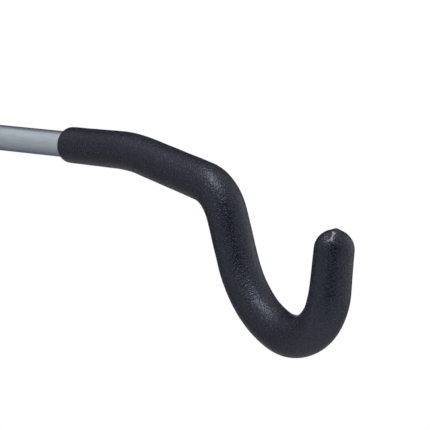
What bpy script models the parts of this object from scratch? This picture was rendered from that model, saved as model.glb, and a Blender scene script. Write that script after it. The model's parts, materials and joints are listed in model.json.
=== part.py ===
"""Folding wall holder for a bicycle.

Two bent tube arms with dipped hooks swing on vertical bolts between the ears
of a pressed wall rail. At rest both arms point straight out from the wall;
each folds outwards, flat along the wall, to its own side.

Units are metres, +Z is up, the wall is the plane Y = 0 and the arms point
along -Y. The origin is the middle of the rail's back face.
"""

import math

import bmesh
import bpy
from mathutils import Matrix, Vector

# Fits
FIT_GAP = 0.0003

# Layout of the two arms
SIDES = {"right": 1, "left": -1}
ARM_SPACING = 0.340
PIVOT_OFFSET = 0.024

# Wall rail, folded from one steel sheet
SHEET_THICKNESS = 0.003
FOLD_RADIUS = 0.005
RAIL_HEIGHT = 0.080
LIP_DEPTH = 0.014
EAR_RADIUS = 0.020
EAR_FILLET = 0.006
SLOT_WIDTH = 0.0085
SLOT_LENGTH = 0.016
SLOT_SPACING = 0.220
SLOT_ROW_SPACING = 0.044

# Pivot hardware
BOLT_DIAMETER = 0.010
BOLT_HEAD_WIDTH = 0.017
BOLT_HEAD_HEIGHT = 0.0064
BOLT_CHAMFER = 0.0010
THREAD_PAST_NUT = 0.0048
WASHER_DIAMETER = 0.020
WASHER_THICKNESS = 0.002
NUT_WIDTH = 0.017
NUT_HEX_HEIGHT = 0.0065
NUT_COLLAR_HEIGHT = 0.0035
NUT_COLLAR_DIAMETER = 0.0150
NUT_CROWN = 0.0009
INSERT_HEIGHT = 0.0020
INSERT_WALL = 0.0012
BARREL_DIAMETER = 0.024
BARREL_WALL = 0.0025
BUSH_FLANGE_THICKNESS = 0.0025
BUSH_SLEEVE_LENGTH = 0.014
BUSH_CHAMFER = 0.0008
STOP_LUG_THICKNESS = 0.005
STOP_LUG_HEIGHT = 0.030
STOP_LUG_CHAMFER = 0.0008

# Arm tube: its straight length from the pivot axis, then each bend and the straight after it
TUBE_DIAMETER = 0.020
TUBE_WALL = 0.0015
WELD_LEG = 0.003
ARM_STRAIGHT_LENGTH = 0.214
FIRST_BEND_ANGLE = 11.0
FIRST_BEND_RADIUS = 0.090
SLOPE_LENGTH = 0.078
SHOULDER_ANGLE = 58.0
SHOULDER_RADIUS = 0.035
DROP_LENGTH = 0.035
HEEL_ANGLE = 47.0
HEEL_RADIUS = 0.080
TOE_ANGLE = 103.5
TOE_RADIUS = 0.041
TIP_LENGTH = 0.031

# Dipped coat on the hook
COAT_START = 0.144
COAT_THICKNESS_AT_MOUTH = 0.0038
COAT_THICKNESS_AT_MIDDLE = 0.0049
COAT_THICKNESS_AT_TIP = 0.0046
COAT_LIP_ROUNDING = 0.0022
DRIP_RADIUS = 0.0042
DRIP_HEIGHT = 0.0016

# Dip gathered inside two bends: its extra thickness and how far it fades either way
CRADLE_POOL_THICKNESS = 0.0009
CRADLE_POOL_REACH = 0.018
CRADLE_POOL_PAST_HEEL = 0.0155
SHOULDER_POOL_THICKNESS = 0.0004
SHOULDER_POOL_REACH = 0.020

# Plug in the open end of the tube
PLUG_STEM_LENGTH = 0.012
PLUG_HEAD_HEIGHT = 0.0065
PLUG_HEAD_INSET = 0.0006

# How finely round shapes are divided
BEND_STEP = math.radians(10.0)
TUBE_BEVEL_RESOLUTION = 6
COAT_BEVEL_RESOLUTION = 8
BEAD_BEVEL_RESOLUTION = 2
TURNED_STEPS = 20
SMALL_TURNED_STEPS = 16
FOLD_STEPS = 4
EAR_STEPS = 12
EAR_FILLET_STEPS = 4
SLOT_END_STEPS = 8
COAT_LIP_STEPS = 3
DOME_STEPS = 5
DRIP_STEPS = 3
CORE_DOME_STEPS = 4
PLUG_HEAD_STEPS = 4
SMOOTH_ANGLE = math.radians(35.0)

# Angle of the cones that take the corners off a bolt's head and a nut
HEX_CHAMFER_ANGLE = math.radians(30.0)

# The fillet takes at most this share of the room between lip and ear
EAR_FILLET_SHARE = 0.9

# A swept dome ends at this share of its quarter turn, in a small flat cap
POLE_SHARE = 0.935

# Construction: merging of doubled points, and how far cutters run past their work
MERGE_DISTANCE = 0.00001
SCREW_MERGE_DISTANCE = 0.00002
CUTTER_OVERHANG = 0.010

# Sizes that follow from the ones above
TUBE_RADIUS = TUBE_DIAMETER / 2
BOLT_RADIUS = BOLT_DIAMETER / 2
BORE_RADIUS = BOLT_RADIUS + FIT_GAP
BARREL_RADIUS = BARREL_DIAMETER / 2
BARREL_CLEARANCE = BARREL_RADIUS + FIT_GAP
RAIL_LENGTH = ARM_SPACING + 2 * EAR_RADIUS
EAR_TOP = RAIL_HEIGHT / 2
EAR_INSIDE = EAR_TOP - SHEET_THICKNESS
BUSH_TOP = EAR_INSIDE - FIT_GAP
BARREL_TOP = BUSH_TOP - BUSH_FLANGE_THICKNESS - FIT_GAP
WASHER_SEAT = EAR_TOP + FIT_GAP
FASTENER_SEAT = WASHER_SEAT + WASHER_THICKNESS + FIT_GAP
NUT_HEIGHT = NUT_HEX_HEIGHT + NUT_COLLAR_HEIGHT
BOLT_END = -FASTENER_SEAT - NUT_HEIGHT - THREAD_PAST_NUT
SHOULDER_START = (
    ARM_STRAIGHT_LENGTH + math.radians(FIRST_BEND_ANGLE) * FIRST_BEND_RADIUS + SLOPE_LENGTH
)
SHOULDER_END = SHOULDER_START + math.radians(SHOULDER_ANGLE) * SHOULDER_RADIUS
SHOULDER_POOL_MIDDLE = (SHOULDER_START + SHOULDER_END) / 2
HEEL_END = SHOULDER_END + DROP_LENGTH + math.radians(HEEL_ANGLE) * HEEL_RADIUS
CRADLE_POOL_MIDDLE = HEEL_END + CRADLE_POOL_PAST_HEEL


def new_collection(name):
    collection = bpy.data.collections.new(name)
    bpy.context.scene.collection.children.link(collection)
    return collection


def clear_scene():
    for old in list(bpy.data.objects):
        bpy.data.objects.remove(old)
    for old in list(bpy.data.collections):
        bpy.data.collections.remove(old)


def to_linear(level):
    level = level / 255
    return level / 12.92 if level <= 0.04045 else ((level + 0.055) / 1.055) ** 2.4


def make_material(name, levels, roughness, metallic=0.0):
    """Principled material from a colour given as 0 to 255 display levels."""
    material = bpy.data.materials.new(name)
    material.use_nodes = True
    shader = material.node_tree.nodes["Principled BSDF"]
    colour = (*(to_linear(level) for level in levels), 1.0)
    shader.inputs["Base Color"].default_value = colour
    shader.inputs["Roughness"].default_value = roughness
    shader.inputs["Metallic"].default_value = metallic
    material.diffuse_color = colour
    return material


class Workshop:
    """Collections and materials shared by every piece."""

    def __init__(self):
        self.parts = new_collection("folding_wall_bike_holder")
        self.cutters = new_collection("cutters")
        self.grey_paint = make_material("grey_paint", (150, 160, 170), roughness=0.42, metallic=0.25)
        self.black_dip = make_material("black_dip", (42, 45, 53), roughness=0.48)
        self.zinc = make_material("zinc_plate", (176, 180, 184), roughness=0.34, metallic=0.9)
        self.nylon = make_material("black_nylon", (34, 34, 36), roughness=0.5)
        self.insert_nylon = make_material("natural_nylon", (214, 212, 200), roughness=0.55)

    def keep(self, piece, material, parent=None):
        """Name a finished piece as part of the holder and give it its finish."""
        self.parts.objects.link(piece)
        piece.data.materials.clear()
        piece.data.materials.append(material)
        for face in piece.data.polygons:
            face.use_smooth = True
        piece.data.set_sharp_from_angle(angle=SMOOTH_ANGLE)
        if parent:
            piece.parent = parent
        return piece

    def tool(self, cutter, parent=None):
        """Set an object aside as a cutter."""
        self.cutters.objects.link(cutter)
        cutter.hide_render = True
        cutter.display_type = "WIRE"
        if parent:
            cutter.parent = parent
        return cutter


def boolean(piece, cutter, operation="DIFFERENCE"):
    modifier = piece.modifiers.new(operation.lower(), "BOOLEAN")
    modifier.operation = operation
    modifier.solver = "EXACT"
    modifier.object = cutter
    return modifier


def curve_to_mesh(name, curve, matrix=None):
    """Closed mesh of a bevelled or filled curve, with its caps welded on."""
    holder = bpy.data.objects.new(name + "_curve", curve)
    bpy.context.scene.collection.objects.link(holder)
    graph = bpy.context.evaluated_depsgraph_get()
    mesh = bpy.data.meshes.new_from_object(holder.evaluated_get(graph))
    body = bmesh.new()
    body.from_mesh(mesh)
    bmesh.ops.remove_doubles(body, verts=body.verts, dist=MERGE_DISTANCE)
    if matrix:
        body.transform(matrix)
    bmesh.ops.recalc_face_normals(body, faces=body.faces)
    body.to_mesh(mesh)
    body.free()
    bpy.data.objects.remove(holder)
    mesh.name = name
    return bpy.data.objects.new(name, mesh)


def swept_tube(name, stations, bevel_resolution, cyclic=False):
    """Round tube along stations, each a (point, radius) pair."""
    curve = bpy.data.curves.new(name, "CURVE")
    curve.dimensions = "3D"
    curve.bevel_depth = 1.0
    curve.bevel_resolution = bevel_resolution
    curve.use_fill_caps = not cyclic
    spline = curve.splines.new("POLY")
    spline.points.add(len(stations) - 1)
    spline.use_cyclic_u = cyclic
    for knot, (point, radius) in zip(spline.points, stations):
        knot.co = (point[0], point[1], point[2], 1.0)
        knot.radius = radius
    return curve_to_mesh(name, curve)


def flat_prism(name, outline, thickness, matrix=None):
    """Flat outline in its own XY plane, thickened both ways and then placed."""
    curve = bpy.data.curves.new(name, "CURVE")
    curve.dimensions = "2D"
    curve.fill_mode = "BOTH"
    curve.extrude = thickness / 2
    spline = curve.splines.new("POLY")
    spline.points.add(len(outline) - 1)
    spline.use_cyclic_u = True
    for knot, (x, y) in zip(spline.points, outline):
        knot.co = (x, y, 0.0, 1.0)
    return curve_to_mesh(name, curve, matrix)


def turned(name, profile, closed, steps=TURNED_STEPS):
    """Turn a (radius, height) profile about Z; outer side runs top to bottom."""
    body = bmesh.new()
    corners = [body.verts.new((radius, 0.0, height)) for radius, height in profile]
    for first, second in zip(corners, corners[1:]):
        body.edges.new((first, second))
    if closed:
        body.edges.new((corners[-1], corners[0]))
    mesh = bpy.data.meshes.new(name)
    body.to_mesh(mesh)
    body.free()
    piece = bpy.data.objects.new(name, mesh)
    screw = piece.modifiers.new("turn", "SCREW")
    screw.axis = "Z"
    screw.angle = math.tau
    screw.steps = steps
    screw.render_steps = steps
    screw.use_merge_vertices = True
    screw.merge_threshold = SCREW_MERGE_DISTANCE
    return piece


def turned_ring(name, inner, outer, low, high, steps=TURNED_STEPS):
    profile = [(outer, high), (outer, low), (inner, low), (inner, high)]
    return turned(name, profile, closed=True, steps=steps)


def hex_prism(name, width, low, high):
    """Hexagonal bar between two heights, width measured across its flats."""
    body = bmesh.new()
    radius = width / math.sqrt(3)
    place = Matrix.Translation((0.0, 0.0, (low + high) / 2))
    bmesh.ops.create_cone(
        body, cap_ends=True, segments=6, radius1=radius, radius2=radius,
        depth=high - low, matrix=place,
    )
    mesh = bpy.data.meshes.new(name)
    body.to_mesh(mesh)
    body.free()
    return bpy.data.objects.new(name, mesh)


def arc_points(centre, radius, start, end, count):
    """Points on an arc, from one angle to another, both ends included."""
    turns = [start + (end - start) * step / count for step in range(count + 1)]
    return [
        (centre[0] + radius * math.cos(turn), centre[1] + radius * math.sin(turn))
        for turn in turns
    ]


def even_turns(last, count):
    """Angles that divide the turn from 0 to the last evenly, 0 left out."""
    return [last * step / count for step in range(1, count + 1)]


def arm_centreline():
    """Centreline as (along, point, heading), from the pivot axis to the tip.

    Each straight adds its length along the heading. Each bend turns the
    heading about a centre one radius to its side, in steps of BEND_STEP.
    """
    bends = (
        (-FIRST_BEND_ANGLE, FIRST_BEND_RADIUS, SLOPE_LENGTH),
        (-SHOULDER_ANGLE, SHOULDER_RADIUS, DROP_LENGTH),
        (HEEL_ANGLE, HEEL_RADIUS, 0.0),
        (TOE_ANGLE, TOE_RADIUS, TIP_LENGTH),
    )
    along, heading = ARM_STRAIGHT_LENGTH, 0.0
    out, up = ARM_STRAIGHT_LENGTH, 0.0
    line = [(0.0, Vector((0.0, 0.0, 0.0)), 0.0)]
    line.append((along, Vector((0.0, -out, up)), heading))
    for degrees, radius, run in bends:
        total = math.radians(degrees)
        side = math.copysign(1.0, total)
        centre_out = out - side * radius * math.sin(heading)
        centre_up = up + side * radius * math.cos(heading)
        count = max(2, math.ceil(abs(total) / BEND_STEP))
        for step in range(1, count + 1):
            turn = heading + total * step / count
            out = centre_out + side * radius * math.sin(turn)
            up = centre_up - side * radius * math.cos(turn)
            reached = along + abs(total) * radius * step / count
            line.append((reached, Vector((0.0, -out, up)), turn))
        heading += total
        along += abs(total) * radius
        if run:
            out += run * math.cos(heading)
            up += run * math.sin(heading)
            along += run
            line.append((along, Vector((0.0, -out, up)), heading))
    return line


def direction_of(heading):
    return Vector((0.0, -math.cos(heading), math.sin(heading)))


def upper_side_of(heading):
    return Vector((0.0, math.sin(heading), math.cos(heading)))


def line_from(line, start):
    """The centreline from a distance along its first straight."""
    return [(start, Vector((0.0, -start, 0.0)), 0.0)] + [knot for knot in line if knot[0] > start]


def pooled(along, middle, reach, thickness):
    """Extra thickness of dip, a bell curve about its middle."""
    return thickness * math.exp(-(((along - middle) / reach) ** 2))


def coat_stations(line, start, radius_at):
    """Stations of the coat's sleeve, with the dip gathered inside two bends.

    Where it gathers by a thickness on one side, the circle grows by half of
    that and its middle moves by the other half towards that side.
    """
    stations = []
    for along, point, heading in line_from(line, start):
        above = pooled(along, CRADLE_POOL_MIDDLE, CRADLE_POOL_REACH, CRADLE_POOL_THICKNESS)
        below = pooled(along, SHOULDER_POOL_MIDDLE, SHOULDER_POOL_REACH, SHOULDER_POOL_THICKNESS)
        middle = point + upper_side_of(heading) * (above - below) / 2
        stations.append((middle, radius_at(along) + (above + below) / 2))
    return stations


def coat_radius_at(line):
    """Outer radius of the coat, straight-line between mouth, middle and tip."""
    tip = line[-1][0]
    middle = (COAT_START + tip) / 2
    marks = (
        (COAT_START, COAT_THICKNESS_AT_MOUTH),
        (middle, COAT_THICKNESS_AT_MIDDLE),
        (tip, COAT_THICKNESS_AT_TIP),
    )

    def radius_at(along):
        for (near, thin), (far, thick) in zip(marks, marks[1:]):
            if along <= far:
                share = (along - near) / (far - near)
                return TUBE_RADIUS + thin + (thick - thin) * share
        return TUBE_RADIUS + COAT_THICKNESS_AT_TIP

    return radius_at


def build_rail(shop):
    """C-shaped rail with a pair of ears at each end for the pivot bolts."""
    half_height = RAIL_HEIGHT / 2
    full_depth = PIVOT_OFFSET + EAR_RADIUS
    corner = half_height - FOLD_RADIUS
    upper = arc_points((-FOLD_RADIUS, corner), FOLD_RADIUS, math.pi / 2, 0.0, FOLD_STEPS)
    lower = [(y, -z) for y, z in reversed(upper)]
    section = [(-full_depth, half_height)] + upper + lower + [(-full_depth, -half_height)]

    body = bmesh.new()
    ends = []
    for x in (-RAIL_LENGTH / 2, RAIL_LENGTH / 2):
        ends.append([body.verts.new((x, y, z)) for y, z in section])
    for step in range(len(section) - 1):
        body.faces.new((ends[0][step], ends[1][step], ends[1][step + 1], ends[0][step + 1]))
    mesh = bpy.data.meshes.new("wall_rail")
    body.to_mesh(mesh)
    body.free()
    rail = bpy.data.objects.new("wall_rail", mesh)
    shell = rail.modifiers.new("sheet", "SOLIDIFY")
    shell.thickness = SHEET_THICKNESS
    shell.offset = -1.0
    shell.use_even_offset = True
    shop.keep(rail, shop.grey_paint)
    boolean(rail, shop.tool(ear_outline_cutter()))
    for side in SIDES.values():
        boolean(rail, shop.tool(pivot_hole_cutter(side)))
        for row in (-1, 1):
            boolean(rail, shop.tool(slot_cutter(side, row)))
    return rail


def pivot_hole_cutter(side):
    """Bar through both ears of one side, with the bolt's clearance."""
    half = RAIL_HEIGHT / 2 + CUTTER_OVERHANG
    profile = [(0.0, half), (BORE_RADIUS, half), (BORE_RADIUS, -half), (0.0, -half)]
    hole = turned("pivot_hole_cutter", profile, closed=False)
    hole.location = (side * ARM_SPACING / 2, -PIVOT_OFFSET, 0.0)
    return hole


def ear_outline_cutter():
    """Prism that takes away the flanges in front of the lips and round the ears.

    In plan each ear ends in a half circle about its pivot, runs straight back
    on its inner side and meets the lip in a hollow fillet.
    """
    pivot = ARM_SPACING / 2
    front = -PIVOT_OFFSET
    fillet = min(EAR_FILLET, EAR_FILLET_SHARE * (PIVOT_OFFSET - LIP_DEPTH))
    hollow_centre = (pivot - EAR_RADIUS - fillet, -LIP_DEPTH - fillet)
    hollow = arc_points(hollow_centre, fillet, math.pi / 2, 0.0, EAR_FILLET_STEPS)
    right = hollow + arc_points((pivot, front), EAR_RADIUS, -math.pi, 0.0, EAR_STEPS)
    left = [(-x, y) for x, y in reversed(right)]
    far = -PIVOT_OFFSET - EAR_RADIUS - CUTTER_OVERHANG
    reach = RAIL_LENGTH / 2 + CUTTER_OVERHANG
    outline = [(-reach, far), (-reach, front)] + left + right + [(reach, front), (reach, far)]
    return flat_prism("ear_outline_cutter", outline, RAIL_HEIGHT + 2 * CUTTER_OVERHANG)


def slot_cutter(side, row):
    """Level slot for a wall screw, with round ends, stood up in the wall's plane."""
    half = (SLOT_LENGTH - SLOT_WIDTH) / 2
    end = SLOT_WIDTH / 2
    quarter = math.pi / 2
    right = arc_points((half, 0.0), end, -quarter, quarter, SLOT_END_STEPS)
    left = arc_points((-half, 0.0), end, quarter, 3 * quarter, SLOT_END_STEPS)
    centre = (side * SLOT_SPACING / 2, 0.0, row * SLOT_ROW_SPACING / 2)
    upright = Matrix.Translation(centre) @ Matrix.Rotation(quarter, 4, "X")
    through = 2 * (SHEET_THICKNESS + CUTTER_OVERHANG)
    return flat_prism("slot_cutter", right + left, through, upright)


def build_barrel(shop, side_name, pivot):
    """Steel barrel that carries the arm and turns about the bolt."""
    inner = BARREL_RADIUS - BARREL_WALL
    barrel = turned_ring(f"{side_name}_hinge_barrel", inner, BARREL_RADIUS, -BARREL_TOP, BARREL_TOP)
    return shop.keep(barrel, shop.grey_paint, pivot)


def build_bush(shop, side_name, level, pivot):
    """Flanged bush: the sleeve fills one end of the barrel, the flange caps it."""
    sleeve = BARREL_RADIUS - BARREL_WALL - FIT_GAP
    under_flange = BUSH_TOP - BUSH_FLANGE_THICKNESS
    end = under_flange - BUSH_SLEEVE_LENGTH
    profile = [
        (BARREL_RADIUS, BUSH_TOP), (BARREL_RADIUS, under_flange), (sleeve, under_flange),
        (sleeve, end + BUSH_CHAMFER), (sleeve - BUSH_CHAMFER, end), (BORE_RADIUS, end),
        (BORE_RADIUS, BUSH_TOP),
    ]
    if level == "lower":
        profile = [(radius, -height) for radius, height in reversed(profile)]
    bush = turned(f"{side_name}_{level}_bush", profile, closed=True)
    return shop.keep(bush, shop.nylon, pivot)


def build_washer(shop, name, low, pivot):
    washer = turned_ring(name, BORE_RADIUS, WASHER_DIAMETER / 2, low, low + WASHER_THICKNESS)
    return shop.keep(washer, shop.zinc, pivot)


def chamfer_tool(name, width, low, high, chamfer_low, chamfer_high):
    """Turned blank whose cones take the corners off a hexagon."""
    flat = width / 2
    corner = width / math.sqrt(3)
    drop = (corner - flat) * math.tan(HEX_CHAMFER_ANGLE)
    profile = [(0.0, high)]
    if chamfer_high:
        profile += [(flat, high), (corner, high - drop)]
    else:
        profile += [(corner, high)]
    if chamfer_low:
        profile += [(corner, low + drop), (flat, low)]
    else:
        profile += [(corner, low)]
    profile += [(0.0, low)]
    return turned(name, profile, closed=False)


def build_bolt(shop, side_name, pivot):
    """Hexagon bolt, its head above the upper ear and its end below the nut."""
    top = FASTENER_SEAT + BOLT_HEAD_HEIGHT
    head = hex_prism(f"{side_name}_pivot_bolt", BOLT_HEAD_WIDTH, FASTENER_SEAT, top)
    shop.keep(head, shop.zinc, pivot)
    overlap = BOLT_HEAD_HEIGHT / 2
    shank = turned(
        f"{side_name}_bolt_shank_tool",
        [(0.0, FASTENER_SEAT + overlap), (BOLT_RADIUS, FASTENER_SEAT + overlap),
         (BOLT_RADIUS, BOLT_END + BOLT_CHAMFER), (BOLT_RADIUS - BOLT_CHAMFER, BOLT_END),
         (0.0, BOLT_END)],
        closed=False, steps=SMALL_TURNED_STEPS,
    )
    blank = chamfer_tool(f"{side_name}_head_chamfer_tool", BOLT_HEAD_WIDTH, FASTENER_SEAT - FIT_GAP,
                         top, False, True)
    boolean(head, shop.tool(blank, pivot), "INTERSECT")
    boolean(head, shop.tool(shank, pivot), "UNION")
    return head


def build_nut(shop, side_name, pivot):
    """Lock nut: a hexagon with a round collar whose groove holds the insert."""
    top = -FASTENER_SEAT
    hex_end = top - NUT_HEX_HEIGHT
    end = top - NUT_HEIGHT
    nut = hex_prism(f"{side_name}_lock_nut", NUT_WIDTH, hex_end, top)
    shop.keep(nut, shop.zinc, pivot)
    blank = chamfer_tool(f"{side_name}_nut_chamfer_tool", NUT_WIDTH, hex_end, top, True, True)
    boolean(nut, shop.tool(blank, pivot), "INTERSECT")
    collar_radius = NUT_COLLAR_DIAMETER / 2
    collar = turned(
        f"{side_name}_nut_collar_tool",
        [(0.0, hex_end + NUT_HEX_HEIGHT / 2), (collar_radius, hex_end + NUT_HEX_HEIGHT / 2),
         (collar_radius, end + NUT_CROWN), (collar_radius - NUT_CROWN, end), (0.0, end)],
        closed=False,
    )
    boolean(nut, shop.tool(collar, pivot), "UNION")
    groove_radius = BORE_RADIUS + INSERT_WALL + FIT_GAP
    groove_top = hex_end
    groove_end = groove_top - INSERT_HEIGHT - 2 * FIT_GAP
    bore = turned(
        f"{side_name}_nut_bore_tool",
        [(0.0, top + CUTTER_OVERHANG), (BORE_RADIUS, top + CUTTER_OVERHANG),
         (BORE_RADIUS, groove_top), (groove_radius, groove_top), (groove_radius, groove_end),
         (BORE_RADIUS, groove_end), (BORE_RADIUS, end - CUTTER_OVERHANG),
         (0.0, end - CUTTER_OVERHANG)],
        closed=False, steps=SMALL_TURNED_STEPS,
    )
    boolean(nut, shop.tool(bore, pivot))
    insert_high = groove_top - FIT_GAP
    insert = turned_ring(
        f"{side_name}_lock_nut_insert", BORE_RADIUS, BORE_RADIUS + INSERT_WALL,
        insert_high - INSERT_HEIGHT, insert_high, steps=SMALL_TURNED_STEPS,
    )
    shop.keep(insert, shop.insert_nylon, pivot)
    return nut


def barrel_clearance_tool(shop, name, pivot):
    """Bar a little wider than the barrel, for coping what is welded to it."""
    half = BARREL_TOP + CUTTER_OVERHANG
    bar = turned(
        name,
        [(0.0, half), (BARREL_CLEARANCE, half), (BARREL_CLEARANCE, -half), (0.0, -half)],
        closed=False,
    )
    return shop.tool(bar, pivot)


def build_stop_lug(shop, side_name, side, cope, pivot):
    """Lug welded on the barrel; its end meets the rail's web at rest."""
    reach = PIVOT_OFFSET - SHEET_THICKNESS - FIT_GAP
    body = bmesh.new()
    bmesh.ops.create_cube(body, size=1.0)
    bmesh.ops.scale(body, vec=(STOP_LUG_THICKNESS, reach, STOP_LUG_HEIGHT), verts=body.verts)
    middle_x = -side * (BARREL_RADIUS - STOP_LUG_THICKNESS / 2)
    bmesh.ops.translate(body, vec=(middle_x, reach / 2, 0.0), verts=body.verts)
    bmesh.ops.bevel(body, geom=body.edges, offset=STOP_LUG_CHAMFER, segments=1, affect="EDGES")
    mesh = bpy.data.meshes.new(f"{side_name}_stop_lug")
    body.to_mesh(mesh)
    body.free()
    lug = bpy.data.objects.new(f"{side_name}_stop_lug", mesh)
    shop.keep(lug, shop.grey_paint, pivot)
    boolean(lug, cope)
    return lug


def build_arm_tube(shop, side_name, line, cope, pivot):
    """Bent steel tube, coped to the barrel, with its weld bead on the end."""
    name = f"{side_name}_arm_tube"
    outer = [(point, TUBE_RADIUS) for _, point, _ in line]
    bore = TUBE_RADIUS - TUBE_WALL
    _, tip, heading = line[-1]
    inner = [(point, bore) for _, point, _ in line]
    inner.append((tip + direction_of(heading) * CUTTER_OVERHANG, bore))
    tube = swept_tube(name, outer, TUBE_BEVEL_RESOLUTION)
    shop.keep(tube, shop.grey_paint, pivot)
    bead = weld_bead(f"{side_name}_weld_bead_tool")
    boolean(tube, shop.tool(bead, pivot), "UNION")
    hollow = swept_tube(f"{side_name}_tube_bore_tool", inner, TUBE_BEVEL_RESOLUTION)
    boolean(tube, shop.tool(hollow, pivot))
    boolean(tube, cope)
    return tube


def weld_bead(name):
    """Round bead along the saddle where the tube meets the barrel.

    The saddle goes once round the tube; its distance from the pivot axis at
    each point is that of the barrel's surface at the same sideways offset, or
    nothing where a tube wider than the barrel passes beside it.
    """
    stations = []
    for step in range(TURNED_STEPS):
        turn = math.tau * step / TURNED_STEPS
        sideways = TUBE_RADIUS * math.cos(turn)
        out = math.sqrt(max(BARREL_CLEARANCE ** 2 - sideways ** 2, 0.0))
        point = Vector((sideways, -out, TUBE_RADIUS * math.sin(turn)))
        stations.append((point, WELD_LEG / 2))
    return swept_tube(name, stations, BEAD_BEVEL_RESOLUTION, cyclic=True)


def build_coat(shop, side_name, line, pivot):
    """Thick dipped coat on the hook, closed over the tip with a small drip."""
    name = f"{side_name}_hook_coat"
    radius_at = coat_radius_at(line)
    end, tip, heading = line[-1]
    ahead = direction_of(heading)
    skin = []
    for step in range(COAT_LIP_STEPS):
        turn = math.pi / 2 * step / COAT_LIP_STEPS
        along = COAT_START + COAT_LIP_ROUNDING * (1 - math.cos(turn))
        radius = radius_at(COAT_START) - COAT_LIP_ROUNDING * (1 - math.sin(turn))
        skin.append((Vector((0.0, -along, 0.0)), radius))
    skin += coat_stations(line, COAT_START + COAT_LIP_ROUNDING, radius_at)
    dome = radius_at(end)
    drip_seat = math.sqrt(dome ** 2 - DRIP_RADIUS ** 2)
    for turn in even_turns(math.asin(drip_seat / dome), DOME_STEPS):
        skin.append((tip + ahead * dome * math.sin(turn), dome * math.cos(turn)))
    drip_length = dome + DRIP_HEIGHT - drip_seat
    last_turn = math.pi / 2 * POLE_SHARE
    for turn in even_turns(last_turn, DRIP_STEPS):
        out = drip_seat + drip_length * math.sin(turn)
        skin.append((tip + ahead * out, DRIP_RADIUS * math.cos(turn)))
    coat = swept_tube(name, skin, COAT_BEVEL_RESOLUTION)
    shop.keep(coat, shop.black_dip, pivot)

    bore = TUBE_RADIUS + FIT_GAP
    inside = [(point, bore) for _, point, _ in line_from(line, COAT_START - CUTTER_OVERHANG)]
    for turn in even_turns(last_turn, CORE_DOME_STEPS):
        inside.append((tip + ahead * bore * math.sin(turn), bore * math.cos(turn)))
    core = swept_tube(f"{side_name}_coat_core_tool", inside, TUBE_BEVEL_RESOLUTION)
    boolean(coat, shop.tool(core, pivot))
    return coat


def build_plug(shop, side_name, line, pivot):
    """Round-headed plug that closes the tube's open end under the coat."""
    stem = TUBE_RADIUS - TUBE_WALL - FIT_GAP
    head = TUBE_RADIUS - PLUG_HEAD_INSET
    profile = [(0.0, FIT_GAP + PLUG_HEAD_HEIGHT)]
    for turn in even_turns(math.pi / 2, PLUG_HEAD_STEPS):
        profile.append((head * math.sin(turn), FIT_GAP + PLUG_HEAD_HEIGHT * math.cos(turn)))
    profile += [(stem, FIT_GAP), (stem, -PLUG_STEM_LENGTH), (0.0, -PLUG_STEM_LENGTH)]
    plug = turned(f"{side_name}_tube_end_plug", profile, closed=False, steps=SMALL_TURNED_STEPS)
    _, tip, heading = line[-1]
    plug.location = tip
    plug.rotation_euler = direction_of(heading).to_track_quat("Z", "X").to_euler()
    return shop.keep(plug, shop.nylon, pivot)


def build_side(shop, side_name, side):
    """Everything on one pivot: the bolt stays with the rail, the arm swings."""
    pivot = bpy.data.objects.new(f"{side_name}_arm_pivot", None)
    pivot.location = (side * ARM_SPACING / 2, -PIVOT_OFFSET, 0.0)
    shop.parts.objects.link(pivot)
    line = arm_centreline()
    cope = barrel_clearance_tool(shop, f"{side_name}_cope_tool", pivot)
    build_barrel(shop, side_name, pivot)
    build_bush(shop, side_name, "upper", pivot)
    build_bush(shop, side_name, "lower", pivot)
    build_stop_lug(shop, side_name, side, cope, pivot)
    build_arm_tube(shop, side_name, line, cope, pivot)
    build_plug(shop, side_name, line, pivot)
    build_coat(shop, side_name, line, pivot)
    build_bolt(shop, side_name, pivot)
    build_washer(shop, f"{side_name}_head_washer", WASHER_SEAT, pivot)
    build_washer(shop, f"{side_name}_nut_washer", -WASHER_SEAT - WASHER_THICKNESS, pivot)
    build_nut(shop, side_name, pivot)


def main():
    clear_scene()
    shop = Workshop()
    build_rail(shop)
    for side_name, side in SIDES.items():
        build_side(shop, side_name, side)


main()
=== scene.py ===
"""Fine surfaces, finishes and studio for a folding wall holder for a bicycle.

Two bent tube arms with dipped hooks swing on upright bolts between the ears of
a pressed wall rail. Lengths are metres, +Z is up, the wall is the plane Y = 0
and the arms point along -Y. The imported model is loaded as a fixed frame; each
fine surface stands where its node stands.
"""

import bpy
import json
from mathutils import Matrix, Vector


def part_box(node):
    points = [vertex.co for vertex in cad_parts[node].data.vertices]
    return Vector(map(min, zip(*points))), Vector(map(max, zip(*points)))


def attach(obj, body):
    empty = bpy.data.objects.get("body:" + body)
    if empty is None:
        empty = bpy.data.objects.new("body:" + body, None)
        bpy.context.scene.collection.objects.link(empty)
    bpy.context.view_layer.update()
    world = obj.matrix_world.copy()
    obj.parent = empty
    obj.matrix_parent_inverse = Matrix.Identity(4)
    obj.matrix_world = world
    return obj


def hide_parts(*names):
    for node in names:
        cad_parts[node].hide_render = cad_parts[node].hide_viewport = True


bl_info = {
    "name": "Folding wall bike holder",
    "version": (1, 0, 0),
    "blender": (4, 5, 0),
    "location": "3D View > Sidebar > Bike Holder",
    "description": "Dresses a folding wall bike holder: hooks, arms, hinges, rail and studio",
    "category": "Add Mesh",
}

import json
import math

import bpy
import numpy as np
from bpy.props import FloatProperty, FloatVectorProperty, IntProperty, PointerProperty
from mathutils import Vector

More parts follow.
